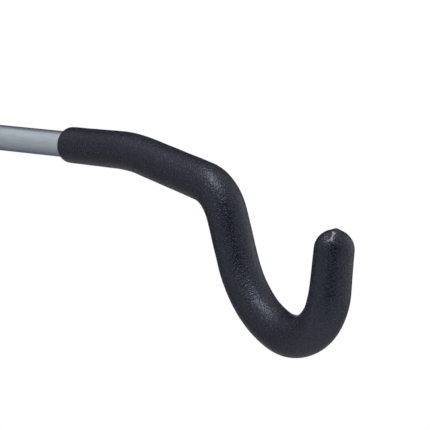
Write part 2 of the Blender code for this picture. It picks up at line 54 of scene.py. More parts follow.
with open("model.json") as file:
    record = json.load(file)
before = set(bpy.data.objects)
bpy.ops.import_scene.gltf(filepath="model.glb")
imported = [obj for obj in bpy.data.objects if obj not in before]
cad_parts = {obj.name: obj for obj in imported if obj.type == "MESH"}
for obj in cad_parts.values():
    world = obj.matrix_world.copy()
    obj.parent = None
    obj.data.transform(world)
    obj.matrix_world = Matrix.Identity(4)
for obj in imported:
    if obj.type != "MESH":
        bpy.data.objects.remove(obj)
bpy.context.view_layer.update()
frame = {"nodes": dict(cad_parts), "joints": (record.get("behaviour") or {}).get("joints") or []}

SIDES = ("right", "left")
PIVOTS = {joint["child"].removesuffix("_arm"): np.array(joint["pos_m"]) for joint in frame["joints"]}
FULL_TURN = 2.0 * math.pi
QUARTER_TURN = math.pi / 2.0
SMOOTH_LIMIT = math.radians(38.0)
BEVEL_LIMIT = math.radians(40.0)
CHAMFER_SLOPE = math.tan(math.radians(30.0))
FINISH_PREFIX = "fine_"
WHITE = (1.0, 1.0, 1.0, 1.0)

# Where two of the bends stand in an arm's list of runs
SHOULDER_RUN = 3
TOE_RUN = 6

# How finely the shapes are divided: points once round, points along, and spacings
TUBE_COLUMNS = 80
TUBE_ROWS = 300
BEAD_AROUND = 720
BEAD_ROWS = 260
BEAD_COLUMNS = 20
COAT_COLUMNS = 128
SLEEVE_ROWS = 400
RING_COLUMNS = 96
HEX_COLUMNS = 108
HEX_SPACING = 0.00018
THREAD_SPACING = 0.00011
LUG_SPACING = 0.0008
CUT_COLUMNS = 72
FLOOR_COLUMNS = 128

# Small laps and gaps between neighbours, and slacks
TUBE_LAP = 0.0003
LUG_LAP = 0.0004
COAT_GAP = 0.00004
INSERT_GAP = 0.00008
GROOVE_DEPTH = 0.0002
FACE_SLACK = 0.0001

# How far before the dome the pools and waves of the dip start to fade
POOL_FADE = 0.010


def node_box(name):
    """Lowest and highest corner of a node as arrays."""
    low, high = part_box(name)
    return np.array(low), np.array(high)


def half_width(name):
    """Half of a node's width along X."""
    low, high = node_box(name)
    return (high[0] - low[0]) / 2.0


def display(red, green, blue):
    """Linear colour of a display colour given as 0 to 255 levels."""
    level = np.array([red, green, blue]) / 255.0
    linear = np.where(level <= 0.04045, level / 12.92, ((level + 0.055) / 1.055) ** 2.4)
    return tuple(float(part) for part in linear)


def length(name, description, default):
    return FloatProperty(name=name, description=description, default=float(default), min=0.0,
                         unit="LENGTH", precision=5)


def amount(name, description, default):
    return FloatProperty(name=name, description=description, default=default, min=0.0)


def fraction(name, description, default):
    return FloatProperty(name=name, description=description, default=default, min=0.0, max=1.0,
                         subtype="FACTOR")


def angle(name, description, degrees):
    return FloatProperty(name=name, description=description, default=math.radians(degrees),
                         subtype="ANGLE")


def colour(name, description, red, green, blue):
    return FloatVectorProperty(name=name, description=description, subtype="COLOR", size=3,
                               default=display(red, green, blue), min=0.0, max=1.0)


class ArmSettings(bpy.types.PropertyGroup):
    """Sizes of the bent tube and its welds."""

    tube_diameter: length("Tube diameter", "Outside of the steel tube", 0.020)
    tube_wall: length("Tube wall", "Thickness of the steel", 0.0015)
    straight_length: length("Straight", "From the pivot axis to the first bend", 0.20726)
    first_angle: angle("First bend", "Gentle bend down", -11.0)
    first_radius: length("First bend radius", "Of the tube's centreline", 0.160)
    slope_length: length("Slope", "Straight between the first bend and the shoulder", 0.07126)
    shoulder_angle: angle("Shoulder", "Steep bend down", -58.0)
    shoulder_radius: length("Shoulder radius", "Of the tube's centreline", 0.035)
    drop_length: length("Drop", "Straight between the shoulder and the heel", 0.035)
    heel_angle: angle("Heel", "First part of the cradle's bend", 47.0)
    heel_radius: length("Heel radius", "Of the tube's centreline", 0.080)
    toe_angle: angle("Toe", "Second, tighter part of the cradle's bend", 103.5)
    toe_radius: length("Toe radius", "Of the tube's centreline", 0.041)
    tip_length: length("Tip", "Straight after the toe", 0.031)
    bead_radius: length("Weld bead", "Radius of the bead round the tube's root", 0.0021)
    ripple_count: IntProperty(name="Weld ripples", description="Ripples once round the tube's root",
                              default=44, min=1)
    ripple_depth: length("Ripple depth", "How far the weld's ripples stand up", 0.00022)


class CoatSettings(bpy.types.PropertyGroup):
    """Sizes of the thick dipped coat on each hook."""

    start: length("Start", "From the pivot axis to the coat's mouth", 0.144)
    mouth_thickness: length("Thickness at the mouth", "Of the coat on the tube", 0.0038)
    middle_thickness: length("Thickness at the middle", "Of the coat on the tube", 0.0049)
    tip_thickness: length("Thickness at the tip", "Of the coat on the tube", 0.0046)
    lip_length: length("Lip length", "How far the mouth's edge is rounded along the arm", 0.0022)
    lip_height: length("Lip height", "How far the mouth's edge is rounded across the arm", 0.0024)
    cradle_pool: length("Cradle pool", "Extra dip gathered inside the toe's bend", 0.0009)
    cradle_pool_reach: length("Cradle pool reach", "How far it fades either way", 0.018)
    cradle_pool_place: length("Cradle pool place", "From the start of the toe's bend", 0.0155)
    shoulder_pool: length("Shoulder pool", "Extra dip gathered under the shoulder", 0.0004)
    shoulder_pool_reach: length("Shoulder pool reach", "How far it fades either way", 0.020)
    waviness: length("Waviness", "How much the dipped thickness comes and goes", 0.00005)
    hollow_pool: length("Hollow pool", "Extra dip gathered behind the tip", 0.0006)
    hollow_pool_reach: length("Hollow pool reach", "How far it fades either way", 0.009)
    hollow_pool_place: length("Hollow pool place", "From the start of the toe's bend", 0.066)
    tip_lean: length("Tip lean", "How much thinner the coat is on the side where it drained", 0.00062)
    tip_lean_turn: angle("Tip lean turn", "Round the tip, from its upper side", 129.0)
    tip_lean_reach: length("Tip lean reach", "How far back along the tip it fades", 0.020)
    nub_height: length("Drip nub height", "Of the nub left where the dip ran off", 0.00115)
    nub_width: length("Drip nub width", "Half width of the nub", 0.0029)
    nub_offset: length("Drip nub offset", "From the tip's axis down the run", 0.0006)
    flat_depth: length("Drip flat depth", "Of the flat that the dip left as it ran off", 0.0008)
    flat_width: length("Drip flat width", "Half width of the flat", 0.0021)
    flat_lean: angle("Drip flat lean", "Between the flat's facing and the tip's axis", 36.0)
    flat_turn: angle("Drip flat turn", "Round the tip, from its upper side", -118.0)


class HingeSettings(bpy.types.PropertyGroup):
    """Edge roundings, thread and beads of the hinge's pieces."""

    barrel_wall: length("Barrel wall", "Thickness of the barrel", 0.0025)
    bolt_diameter: length("Bolt diameter", "Of the pivot bolt's shank", 0.010)
    bore_gap: length("Bore gap", "Clearance round the bolt", 0.0003)
    flange_thickness: length("Bush flange", "Thickness of the bush's flange", 0.0025)
    steel_rounding: length("Steel edges", "Rounding of barrel, nut and bolt edges", 0.0004)
    washer_rounding: length("Washer edges", "Rounding of the stamped washers", 0.00045)
    bush_rounding: length("Bush edges", "Rounding of the moulded bushes", 0.0005)
    head_height: length("Bolt head", "Height of the hexagon head", 0.0064)
    bolt_chamfer: length("Bolt end chamfer", "At the end of the thread", 0.0010)
    thread_pitch: length("Thread pitch", "Rise of the thread in one turn", 0.0015)
    thread_depth: length("Thread depth", "From crest to root", 0.00085)
    thread_length: length("Thread length", "From the bolt's end upwards", 0.026)
    hex_height: length("Nut hexagon", "Height of the nut's hexagon", 0.0065)
    collar_diameter: length("Nut collar", "Outside of the collar round the insert", 0.015)
    collar_crown: length("Nut crown", "Rounding of the collar's end", 0.0011)
    insert_wall: length("Insert wall", "Thickness of the nylon insert", 0.0012)
    insert_rounding: length("Insert edges", "Rounding of the nylon insert", 0.0003)
    lug_rounding: length("Lug edges", "Rounding of the stop lug's edges", 0.0009)
    lug_bead_radius: length("Lug weld", "Radius of the beads beside the stop lug", 0.0016)
    lug_bead_inset: length("Lug weld inset", "How much shorter than the lug its beads are", 0.003)
    lug_ripple_pitch: length("Lug weld ripples", "Along the bead, for a radian of their wave", 0.00075)


class RailSettings(bpy.types.PropertyGroup):
    """Sizes of the folded wall rail."""

    sheet_thickness: length("Sheet", "Thickness of the steel sheet", 0.003)
    fold_radius: length("Fold", "Outer radius of the two long folds", 0.005)
    lip_depth: length("Lip depth", "From the wall to the edge between the ears", 0.014)
    ear_fillet: length("Ear fillet", "Hollow where an ear meets the lip", 0.006)
    slot_width: length("Slot width", "Of the slots for the wall screws", 0.0085)
    slot_length: length("Slot length", "Of the slots for the wall screws", 0.016)
    slot_spacing: length("Slot spacing", "Between the slots, along the rail", 0.220)
    slot_row_spacing: length("Slot rows", "Between the two rows of slots", 0.044)
    edge_rounding: length("Edge rounding", "Of the painted sheet's edges", 0.0006)


class FinishSettings(bpy.types.PropertyGroup):
    """Colours and grain of the finishes."""

    paint: colour("Grey paint", "Silver-grey metallic coat on the steel", 200, 208, 214)
    paint_edge: colour("Paint edge-on", "Cast of its reflections seen edge-on", 120, 140, 190)
    dip: colour("Black dip", "Blue-black dipped vinyl", 17, 16, 27)
    dip_sheen: colour("Dip sheen", "Cast of the reflections on the dip", 212, 226, 255)
    zinc: colour("Zinc plate", "Bolts, washers and nuts", 186, 190, 195)
    nylon: colour("Black nylon", "Bushes and tube plugs", 34, 34, 36)
    insert: colour("Natural nylon", "Insert of the lock nuts", 214, 212, 200)
    grain_size: length("Dip grain", "Size of the leathery grain", 0.0017)
    grain_depth: length("Dip grain depth", "Depth of the leathery grain", 0.00049)
    grain_shine: fraction("Grain shine", "Extra gloss on the tops of the leathery grain", 0.50)
    peel_size: length("Paint peel", "Size of the paint's faint orange peel", 0.0024)


class StageSettings(bpy.types.PropertyGroup):
    """Camera, lamps and floor."""

    azimuth: angle("Camera azimuth", "Round the holder, 0 looks along +Y", -38.981)
    elevation: angle("Camera elevation", "Above the horizon", 5.8296)
    distance: length("Camera distance", "From the camera to its aim", 2.3985)
    aim: FloatVectorProperty(name="Aim", description="Point that the camera looks at", size=3,
                             default=(0.2630, -0.2291, -0.0552), unit="LENGTH")
    lens: FloatProperty(name="Lens", description="Focal length in millimetres on a 36 mm sensor",
                        default=260.2, min=1.0)
    floor_drop: length("Floor drop", "Height of the rail's middle above the floor", 0.60)
    floor_radius: length("Floor radius", "Of the round floor", 1.7)
    floor_thickness: length("Floor thickness", "Of the round floor", 0.01)
    floor_plainness: fraction("Floor plainness", "Share of plain white in what the camera sees", 0.85)
    floor_dimness: fraction("Floor behind", "Its level in reflections, behind the holder", 0.26)
    floor_colour: colour("Floor colour", "Pale floor", 200, 204, 212)
    world_level: amount("Surroundings", "Plain light from all sides", 0.58)
    room_level: amount("Room", "How bright the room beside the holder is in reflections", 1.0)
    dim_level: amount("Dim room", "The same beside the camera and far behind the holder", 0.02)
    room_lean: FloatProperty(name="Room lean", default=0.16,
                             description="How much further the room's light reaches on the right")


def settings(group):
    """The scene's settings of one group, such as coat."""
    return getattr(bpy.context.scene, f"holder_{group}")


def signed_volume(points, triangles):
    """Sum of the tetrahedra between the origin and each face, by the triple product."""
    first, second, third = (points[triangles[:, corner]] for corner in range(3))
    return float(np.einsum("ij,ij->i", first, np.cross(second, third)).sum() / 6.0)


def grid_faces(rows, columns, ring):
    """Faces of one closed grid, as quads and fan triangles.

    Each quad joins (row, column), (row, column + 1), (row + 1, column + 1) and
    (row + 1, column), with the last column followed by the first. A ring also
    follows its last row by its first; any other grid ends in two fans, whose
    middles are the two vertices after the grid.
    """
    here = np.arange(rows * columns).reshape(rows, columns)
    beside = np.roll(here, -1, axis=1)
    if ring:
        corners = (here, beside, np.roll(beside, -1, axis=0), np.roll(here, -1, axis=0))
        return np.stack(corners, axis=-1).reshape(-1, 4), np.zeros((0, 3), int)
    quads = np.stack((here[:-1], beside[:-1], beside[1:], here[1:]), axis=-1).reshape(-1, 4)
    first = np.full(columns, rows * columns)
    opening = np.stack((first, beside[0], here[0]), axis=-1)
    closing = np.stack((first + 1, here[-1], beside[-1]), axis=-1)
    return quads, np.concatenate((opening, closing))


def smoothed(mesh):
    """The mesh, shaded smooth but for its sharp edges."""
    mesh.shade_smooth()
    mesh.set_sharp_from_angle(angle=SMOOTH_LIMIT)
    return mesh


def closed_mesh(name, grids, ring=False):
    """Mesh of one or more closed grids of points, each (rows, columns, 3).

    Faces are turned outwards by the sign of the volume that each grid encloses.
    """
    points, faces, start = [], [], 0
    for grid in grids:
        rows, columns = grid.shape[:2]
        own = grid.reshape(-1, 3)
        if not ring:
            own = np.concatenate((own, grid[:1].mean(axis=1), grid[-1:].mean(axis=1)))
        quads, fans = grid_faces(rows, columns, ring)
        triangles = np.concatenate((quads[:, :3], quads[:, [0, 2, 3]], fans))
        if signed_volume(own, triangles) < 0.0:
            quads, fans = quads[:, ::-1], fans[:, ::-1]
        faces += (quads + start).tolist() + (fans + start).tolist()
        points.append(own)
        start += len(own)
    mesh = bpy.data.meshes.new(name)
    mesh.from_pydata(np.concatenate(points).tolist(), [], faces)
    return smoothed(mesh)


def open_mesh(name, grid):
    """Mesh of an open grid of points, rows by columns."""
    rows, columns = grid.shape[:2]
    here = np.arange(rows * columns).reshape(rows, columns)
    quads = np.stack((here[:-1, :-1], here[:-1, 1:], here[1:, 1:], here[1:, :-1]), axis=-1)
    mesh = bpy.data.meshes.new(name)
    mesh.from_pydata(grid.reshape(-1, 3).tolist(), [], quads.reshape(-1, 4).tolist())
    return mesh


def add_object(name, data):
    piece = bpy.data.objects.new(name, data)
    bpy.context.scene.collection.objects.link(piece)
    return piece


def give_finish(piece, slot):
    """Leave a piece with nothing but the fine material of a slot."""
    piece.data.materials.clear()
    piece.data.materials.append(bpy.data.materials[FINISH_PREFIX + slot])


def modify(piece, kind, **setup):
    """Add a modifier to a piece and set it up."""
    modifier = piece.modifiers.new(kind.lower(), kind)
    for name, value in setup.items():
        setattr(modifier, name, value)


def dress(mesh, body, slot, node=None, flat_faces=False):
    """Make a mesh a finished piece of its name, which rides on a body and stands for a node.

    Large flat faces can keep flat shading beside their rounded edges.
    """
    piece = add_object(mesh.name, mesh)
    if flat_faces:
        modify(piece, "WEIGHTED_NORMAL", keep_sharp=True)
    give_finish(piece, slot)
    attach(piece, body)
    if node:
        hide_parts(node)


def turns(count):
    """Evenly spaced angles once round, without the last."""
    return np.arange(count) * FULL_TURN / count


def stacked(*axes):
    """Points from their coordinates, each repeated over the grid that all of them span."""
    return np.stack(np.broadcast_arrays(*axes), axis=-1)


def rounded_outline(corners, roundings, closed=True, steps=6, hold=0.4):
    """Outline of (radius, height) points whose corners are rounded off.

    A corner P with rounding r becomes (1-s)^2 (P + a r) + 2 s (1-s) P + s^2 (P + b r)
    for s from 0 to 1, where a and b point along its two sides. A point a little
    further along each side holds that side straight. An open outline keeps its
    two end points as they are.
    """
    corners = np.asarray(corners, float)
    roundings = np.asarray(roundings, float)[:, None]
    back = np.roll(corners, 1, axis=0) - corners
    ahead = np.roll(corners, -1, axis=0) - corners
    back /= np.linalg.norm(back, axis=1, keepdims=True)
    ahead /= np.linalg.norm(ahead, axis=1, keepdims=True)
    share = np.linspace(0.0, 1.0, steps + 1)[None, :, None]
    near = (corners + back * roundings)[:, None, :]
    far = (corners + ahead * roundings)[:, None, :]
    middle = corners[:, None, :]
    curve = (1 - share) ** 2 * near + 2 * share * (1 - share) * middle + share ** 2 * far
    before = near + (back * roundings * hold)[:, None, :]
    after = far + (ahead * roundings * hold)[:, None, :]
    rounded = np.concatenate((before, curve, after), axis=1)
    if closed:
        return rounded.reshape(-1, 2)
    return np.concatenate((corners[:1], rounded[1:-1].reshape(-1, 2), corners[-1:]))


def densified(outline, spacing, low=-np.inf, high=np.inf, closed=False):
    """Outline with more points, one each spacing, where its height is in a range."""
    if closed:
        outline = np.concatenate((outline, outline[:1]))
    steps = np.linalg.norm(np.diff(outline, axis=0), axis=1)
    reached = np.concatenate(([0.0], np.cumsum(steps)))
    extra = np.arange(0.0, reached[-1], spacing)
    height = np.interp(extra, reached, outline[:, 1])
    extra = extra[(height > low) & (height < high)]
    marks = np.unique(np.concatenate((reached, extra)))
    dense = np.stack([np.interp(marks, reached, outline[:, axis]) for axis in (0, 1)], axis=-1)
    return dense[:-1] if closed else dense


def place_turned(radius, height, turn, pivot):
    """Points at a radius and turn about the pivot's axis, at a height above it."""
    return stacked(pivot[0] + radius * np.cos(turn), pivot[1] + radius * np.sin(turn),
                   pivot[2] + height)


def hexagon_radius(turn, flats, sharpness=44.0):
    """Radius of a hexagon with softened corners, flats facing +X and each sixth of a turn.

    Half the width across flats, over the p-norm of the cosines to the three
    pairs of flats.
    """
    normals = np.arange(3) * math.pi / 3.0
    reach = np.abs(np.cos(turn[:, None] - normals)) ** sharpness
    return flats / 2.0 / reach.sum(axis=1) ** (1.0 / sharpness)


def hexagon_cut(outline, flats, softness=0.00010):
    """Radius, height and turn of what is left of a turned blank inside a hexagonal bar.

    The radius is the smooth minimum of the two: -k ln(exp(-a/k) + exp(-b/k)).
    """
    turn = turns(HEX_COLUMNS)
    bar = hexagon_radius(turn, flats)
    radius = -softness * np.logaddexp(-outline[:, :1] / softness, -bar / softness)
    return np.maximum(radius, 0.0), outline[:, 1:], turn


def hexagon_chamfer(flats):
    """Where a hexagon's chamfer starts and ends outwards, and how far it drops.

    It runs from just inside the flats to just past the corners, at 30 degrees.
    """
    corner = flats / math.sqrt(3.0)
    return 0.97 * flats / 2.0, 1.04 * corner, 1.25 * CHAMFER_SLOPE * (corner - flats / 2.0)


class ArmPath:
    """Centreline of an arm, in the upright plane through its pivot."""

    def __init__(self, side):
        size = settings("arm")
        bends = (
            (0.0, size.straight_length),
            (size.first_angle, size.first_radius), (0.0, size.slope_length),
            (size.shoulder_angle, size.shoulder_radius), (0.0, size.drop_length),
            (size.heel_angle, size.heel_radius), (size.toe_angle, size.toe_radius),
            (0.0, size.tip_length),
        )
        self.pivot = PIVOTS[side]
        self.tube_radius = size.tube_diameter / 2.0
        self.runs = []
        start, heading = 0.0, 0.0
        for turned, reach in bends:
            run = abs(turned) * reach if turned else reach
            self.runs.append((start, run, heading, turned / run))
            start += run
            heading += turned
        self.length = start

    def centre(self, along):
        """Distance out from the pivot, height and heading at distances along the line.

        A straight adds its length along the heading h; a bend of curvature c
        adds (sin(h + c l) - sin h) / c outwards and (cos h - cos(h + c l)) / c
        upwards. Both ends run on straight.
        """
        out, up, heading = np.zeros_like(along), np.zeros_like(along), np.zeros_like(along)
        last = len(self.runs) - 1
        for place, (start, run, turn, curvature) in enumerate(self.runs):
            least = -np.inf if place == 0 else 0.0
            most = np.inf if place == last else run
            local = np.clip(along - start, least, most)
            heading += curvature * local
            if curvature:
                out += (np.sin(turn + curvature * local) - math.sin(turn)) / curvature
                up += (math.cos(turn) - np.cos(turn + curvature * local)) / curvature
            else:
                out += local * math.cos(turn)
                up += local * math.sin(turn)
        return out, up, heading

    def points(self, along, turn, radius):
        """Points round the line: turn 0 is its upper side, a quarter turn is +X."""
        out, up, heading = self.centre(along)
        rise = radius * np.cos(turn)
        return stacked(self.pivot[0] + radius * np.sin(turn),
                       self.pivot[1] - out + rise * np.sin(heading),
                       self.pivot[2] + up + rise * np.cos(heading))

    def saddle(self, barrel, turn, radius):
        """Where a tube of a radius meets a barrel: sqrt(b^2 - (r sin t)^2) from the axis."""
        return np.sqrt(barrel ** 2 - (radius * np.sin(turn)) ** 2)


class Level:
    """A number that runs through a node tree; arithmetic on it adds Math nodes."""

    def __init__(self, bench, socket):
        self.bench = bench
        self.socket = socket

    def __add__(self, other):
        return self.bench.maths("ADD", self, other)

    def __sub__(self, other):
        return self.bench.maths("SUBTRACT", self, other)

    def __rsub__(self, other):
        return self.bench.maths("SUBTRACT", other, self)

    def __mul__(self, other):
        return self.bench.maths("MULTIPLY", self, other)

    __radd__ = __add__
    __rmul__ = __mul__

    def clamped(self):
        return self.bench.maths("MINIMUM", self.bench.maths("MAXIMUM", self, 0.0), 1.0)

    def spread(self, middle, gain):
        """How far it lies above a middle, times a gain."""
        return (self - middle) * gain


class Bench:
    """A node tree, with the one method that puts nodes on it."""

    def __init__(self, tree):
        self.tree = tree
        tree.nodes.clear()

    def add(self, kind, setup=None, sockets=None, out=0):
        """Add a node, set it up, then fill or link its inputs; returns one output, if it has any."""
        node = self.tree.nodes.new(kind)
        for name, value in (setup or {}).items():
            setattr(node, name, value)
        for name, value in (sockets or {}).items():
            if isinstance(value, Level):
                self.tree.links.new(value.socket, node.inputs[name])
            else:
                node.inputs[name].default_value = value
        return Level(self, node.outputs[out]) if node.outputs else None

    def maths(self, operation, first, second):
        return self.add("ShaderNodeMath", {"operation": operation}, {0: first, 1: second})

    def vector_maths(self, operation, *inputs, out=0):
        return self.add("ShaderNodeVectorMath", {"operation": operation}, dict(enumerate(inputs)), out)

    def reach(self, vector, direction):
        """How far a vector reaches along a direction, by their dot product."""
        return self.vector_maths("DOT_PRODUCT", vector, tuple(direction), out="Value")

    def where(self):
        return self.add("ShaderNodeTexCoord", out="Object")

    def noise(self, size, detail=2.0, vector=None, out=0):
        """Noise whose lumps are about the given size in metres, from 0 to 1."""
        sockets = {"Vector": vector or self.where(), "Scale": 1.0 / size, "Detail": detail}
        return self.add("ShaderNodeTexNoise", None, sockets, out)

    def blend(self, factor, first, second):
        """Colour between two colours."""
        sockets = {0: factor, 6: first, 7: second}
        return self.add("ShaderNodeMix", {"data_type": "RGBA"}, sockets, out=2)

    def bump(self, height, distance, strength, normal=None):
        sockets = {"Height": height, "Distance": distance, "Strength": strength}
        if normal:
            sockets["Normal"] = normal
        return self.add("ShaderNodeBump", None, sockets)

    def finish(self, shader, output="ShaderNodeOutputMaterial"):
        """Link a shader to the tree's output."""
        self.add(output, None, {"Surface": shader})

    def principled(self, sockets):
        self.finish(self.add("ShaderNodeBsdfPrincipled", None, sockets))


def new_bench(name):
    material = bpy.data.materials.new(FINISH_PREFIX + name)
    material.use_nodes = True
    return Bench(material.node_tree)


def shade(rgb, *factors):
    """RGBA of a colour made lighter or darker, by one factor or one for each channel."""
    return (*(float(part * factor) for part, factor in zip(rgb, factors * 3)), 1.0)


def make_grey_paint():
    """Silver-grey semi-gloss paint: cloudy, faintly streaked along the arms, with orange peel.

    It turns glossier where it is seen edge-on.
    """
    look = settings("finish")
    bench = new_bench("grey_paint")
    cloud = bench.noise(size=0.055, detail=3.0)
    peel = bench.noise(size=look.peel_size)
    speck = bench.noise(size=0.00045, detail=1.0)
    drawn_out = bench.vector_maths("MULTIPLY", bench.where(), (1.0, 0.08, 1.0))
    streaks = bench.noise(size=0.0022, vector=drawn_out)
    mottled = cloud.spread(middle=0.35, gain=2.0) + streaks.spread(middle=0.5, gain=2.4)
    tone = bench.blend(mottled.clamped(), shade(look.paint, 0.98), shade(look.paint, 1.14))
    facing = bench.add("ShaderNodeLayerWeight", out="Facing")
    rim = facing.spread(middle=0.42, gain=2.2).clamped()
    matt, cloudiness, rim_gloss = 0.50, 0.08, 0.38
    grain = bench.bump(speck, distance=0.000012, strength=0.5)
    bench.principled({
        "Base Color": tone, "Metallic": 0.85, "Specular Tint": (*look.paint_edge, 1.0),
        "Roughness": matt + cloudiness * cloud - rim_gloss * rim,
        "Normal": bench.bump(peel, distance=0.00010, strength=0.55, normal=grain),
    })


def make_black_dip():
    """Blue-black dipped vinyl: leathery cells with painted shade in their creases, finer pores, specks
    of painted glint, smoother where it ran.
    """
    look = settings("finish")
    bench = new_bench("black_dip")
    where = bench.where()
    drift = bench.noise(size=look.grain_size / 0.6, detail=1.0, vector=where, out="Color")
    shaken = bench.vector_maths("MULTIPLY_ADD", drift, (look.grain_size * 0.8,) * 3, where)
    cells = bench.add("ShaderNodeTexVoronoi", {"feature": "SMOOTH_F1"},
                      {"Vector": shaken, "Scale": 1.0 / look.grain_size, "Smoothness": 0.6})
    pores = bench.noise(size=look.grain_size * 0.55)
    glint_and_bump_specks = bench.noise(size=look.grain_size * 0.7, detail=0.0)
    raised_and_glint_dots = glint_and_bump_specks.spread(middle=0.60, gain=7.0).clamped()
    swell = bench.noise(size=0.011)
    plain = bench.noise(size=0.030)
    polish = bench.add("ShaderNodeAttribute", {"attribute_name": "polish"}, out="Fac")

    cell_rise, pore_rise, dot_rise, polished_away = 0.7, 0.7, 0.31, 0.92
    height = (1.0 - cells) * cell_rise + pores * pore_rise + raised_and_glint_dots * dot_rise
    grain = bench.bump(height * (1.0 - polish * polished_away), look.grain_depth, strength=1.0)
    # Painted shade: the base colour darkens from the cells' middles towards the creases between them.
    painted_crease_shade = (0.75 - cells) * 1.4
    mottled = plain.spread(middle=0.5, gain=1.2) + painted_crease_shade + pores.spread(middle=0.5, gain=1.0)
    tone = bench.blend(mottled.clamped(), shade(look.dip, 0.4), shade(look.dip, 1.7))
    # Painted glints: scattered specks of lighter base colour, none where the dip is polished; the same
    # specks are also raised in the bump.
    tone = bench.blend(raised_and_glint_dots * (1.0 - polish), tone, shade(look.dip, 2.8))
    gloss, cell_matt, swell_matt, polish_gloss = 0.14, 0.08, 0.04, 0.04
    shine = (pores.spread(middle=0.46, gain=3.0) + polish).clamped() * look.grain_shine
    bench.principled({
        "Base Color": tone, "Specular IOR Level": 0.42, "Specular Tint": (*look.dip_sheen, 1.0),
        "Roughness": gloss + cell_matt * cells + swell_matt * swell - polish_gloss * polish,
        "Coat Weight": shine, "Coat Roughness": 0.18,
        "Sheen Weight": 0.26, "Sheen Roughness": 0.22, "Sheen Tint": (0.40, 0.55, 1.0, 1.0),
        "Normal": bench.bump(swell, distance=0.0004, strength=0.35, normal=grain),
    })


def make_zinc_plate():
    """Bright zinc: cloudy gloss, a faint blue and straw cast and fine marks."""
    look = settings("finish")
    bench = new_bench("zinc_plate")
    cloud = bench.noise(size=0.006, detail=3.0)
    cast = bench.noise(size=0.010, detail=1.0)
    marks = bench.noise(size=0.0006, detail=3.0)
    straw = shade(look.zinc, 1.04, 1.01, 0.93)
    gloss, cloudiness = 0.20, 0.22
    bench.principled({
        "Base Color": bench.blend(cast.spread(middle=0.3, gain=2.2), shade(look.zinc, 0.97), straw),
        "Roughness": gloss + cloudiness * cloud, "Metallic": 0.95,
        "Normal": bench.bump(marks, distance=0.00002, strength=0.5),
    })


def make_nylon(name, rgb, roughness):
    """Moulded nylon: matt, with a fine spark-eroded grain."""
    bench = new_bench(name)
    cloud = bench.noise(size=0.008)
    grain = bench.noise(size=0.0005)
    graininess = 0.12
    bench.principled({
        "Base Color": bench.blend(cloud, shade(rgb, 0.9), shade(rgb, 1.12)),
        "Roughness": roughness + graininess * grain,
        "Normal": bench.bump(grain, distance=0.00003, strength=0.6),
    })


class HOLDER_OT_finishes(bpy.types.Operator):
    """Make the paint, the dip, the zinc and the nylons"""

    bl_idname = "bike_holder.finishes"
    bl_label = "Finishes"

    def execute(self, context):
        look = settings("finish")
        make_grey_paint()
        make_black_dip()
        make_zinc_plate()
        make_nylon("black_nylon", look.nylon, roughness=0.50)
        make_nylon("insert_nylon", look.insert, roughness=0.42)
        return {"FINISHED"}


def tube_grid(path):
    """Bent tube: outside from the saddle cut on the barrel to the tip, then its bore back.

    The rows close up evenly from the saddle to the tip.
    """
    barrel = half_width("right_hinge_barrel") - TUBE_LAP
    turn = turns(TUBE_COLUMNS)
    shares = np.linspace(0.0, 1.0, TUBE_ROWS)[:, None]
    skins = []
    for radius in (path.tube_radius, path.tube_radius - settings("arm").tube_wall):
        saddle = path.saddle(barrel, turn, radius)
        skins.append(path.points(saddle + (path.length - saddle) * shares, turn, radius))
    return np.concatenate((skins[0], skins[1][::-1]))


def ripples(along, section, bend=1.1):
    """Ripples of a weld, from -0.5 to 0.5: |sin| of half the phase along the bead.

    They bend across it by the cosine of the section's turn, as a moving pool leaves them.
    """
    return np.abs(np.sin((along + bend * np.cos(section)) / 2.0)) - 0.5


def root_bead_grid(path):
    """Weld bead round the saddle, with overlapping ripples.

    Its middle runs where tube and barrel meet, and its radius also swells by
    two slow waves of the way round.
    """
    size = settings("arm")
    turn = turns(BEAD_AROUND)[:, None]
    section = turns(BEAD_COLUMNS)
    swell = 0.06 * np.sin(3.0 * turn + 0.7) + 0.04 * np.sin(7.0 * turn)
    ripple = ripples(turn * size.ripple_count, section - math.pi / 4.0)
    radius = size.bead_radius * (1.0 + swell) + size.ripple_depth * ripple
    saddle = path.saddle(half_width("right_hinge_barrel"), turn, path.tube_radius)
    outward = path.tube_radius + radius * np.cos(section)
    return path.points(saddle + radius * np.sin(section), turn, outward)


class HOLDER_OT_arm_tubes(bpy.types.Operator):
    """Make the two bent tubes and the weld beads at their roots"""

    bl_idname = "bike_holder.arm_tubes"
    bl_label = "Arm tubes"

    def execute(self, context):
        for side in SIDES:
            path = ArmPath(side)
            tube = closed_mesh(f"{side}_tube", [tube_grid(path)], ring=True)
            dress(tube, f"{side}_arm", "grey_paint", f"{side}_arm_tube")
            weld = closed_mesh(f"{side}_root_weld", [root_bead_grid(path)], ring=True)
            dress(weld, f"{side}_arm", "grey_paint")
        return {"FINISHED"}


def coat_thickness(share):
    """Parabola through the thickness at mouth, middle and tip, for shares 0 to 1."""
    size = settings("coat")
    mouth, middle, tip = size.mouth_thickness, size.middle_thickness, size.tip_thickness
    return (mouth * (1 - share) * (1 - 2 * share) + 4 * middle * share * (1 - share)
            + tip * share * (2 * share - 1))


def bell(distance, reach):
    """exp(-(d/r)^2)"""
    return np.exp(-(distance / reach) ** 2)


def pooled_dip(path, along, turn):
    """Extra dip inside the bends, each a bell along the arm.

    Round the arm it goes by (1 + cos t) / 2 from the upper side t = 0 in the
    cradle, and by (1 - cos t) / 2, from the lower side, under the shoulder.
    """
    size = settings("coat")
    past_toe = along - path.runs[TOE_RUN][0]
    start, run = path.runs[SHOULDER_RUN][:2]
    above = (size.cradle_pool * bell(past_toe - size.cradle_pool_place, size.cradle_pool_reach)
             + size.hollow_pool * bell(past_toe - size.hollow_pool_place, size.hollow_pool_reach))
    below = size.shoulder_pool * bell(along - start - run / 2.0, size.shoulder_pool_reach)
    return above * (1.0 + np.cos(turn)) / 2.0 + below * (1.0 - np.cos(turn)) / 2.0


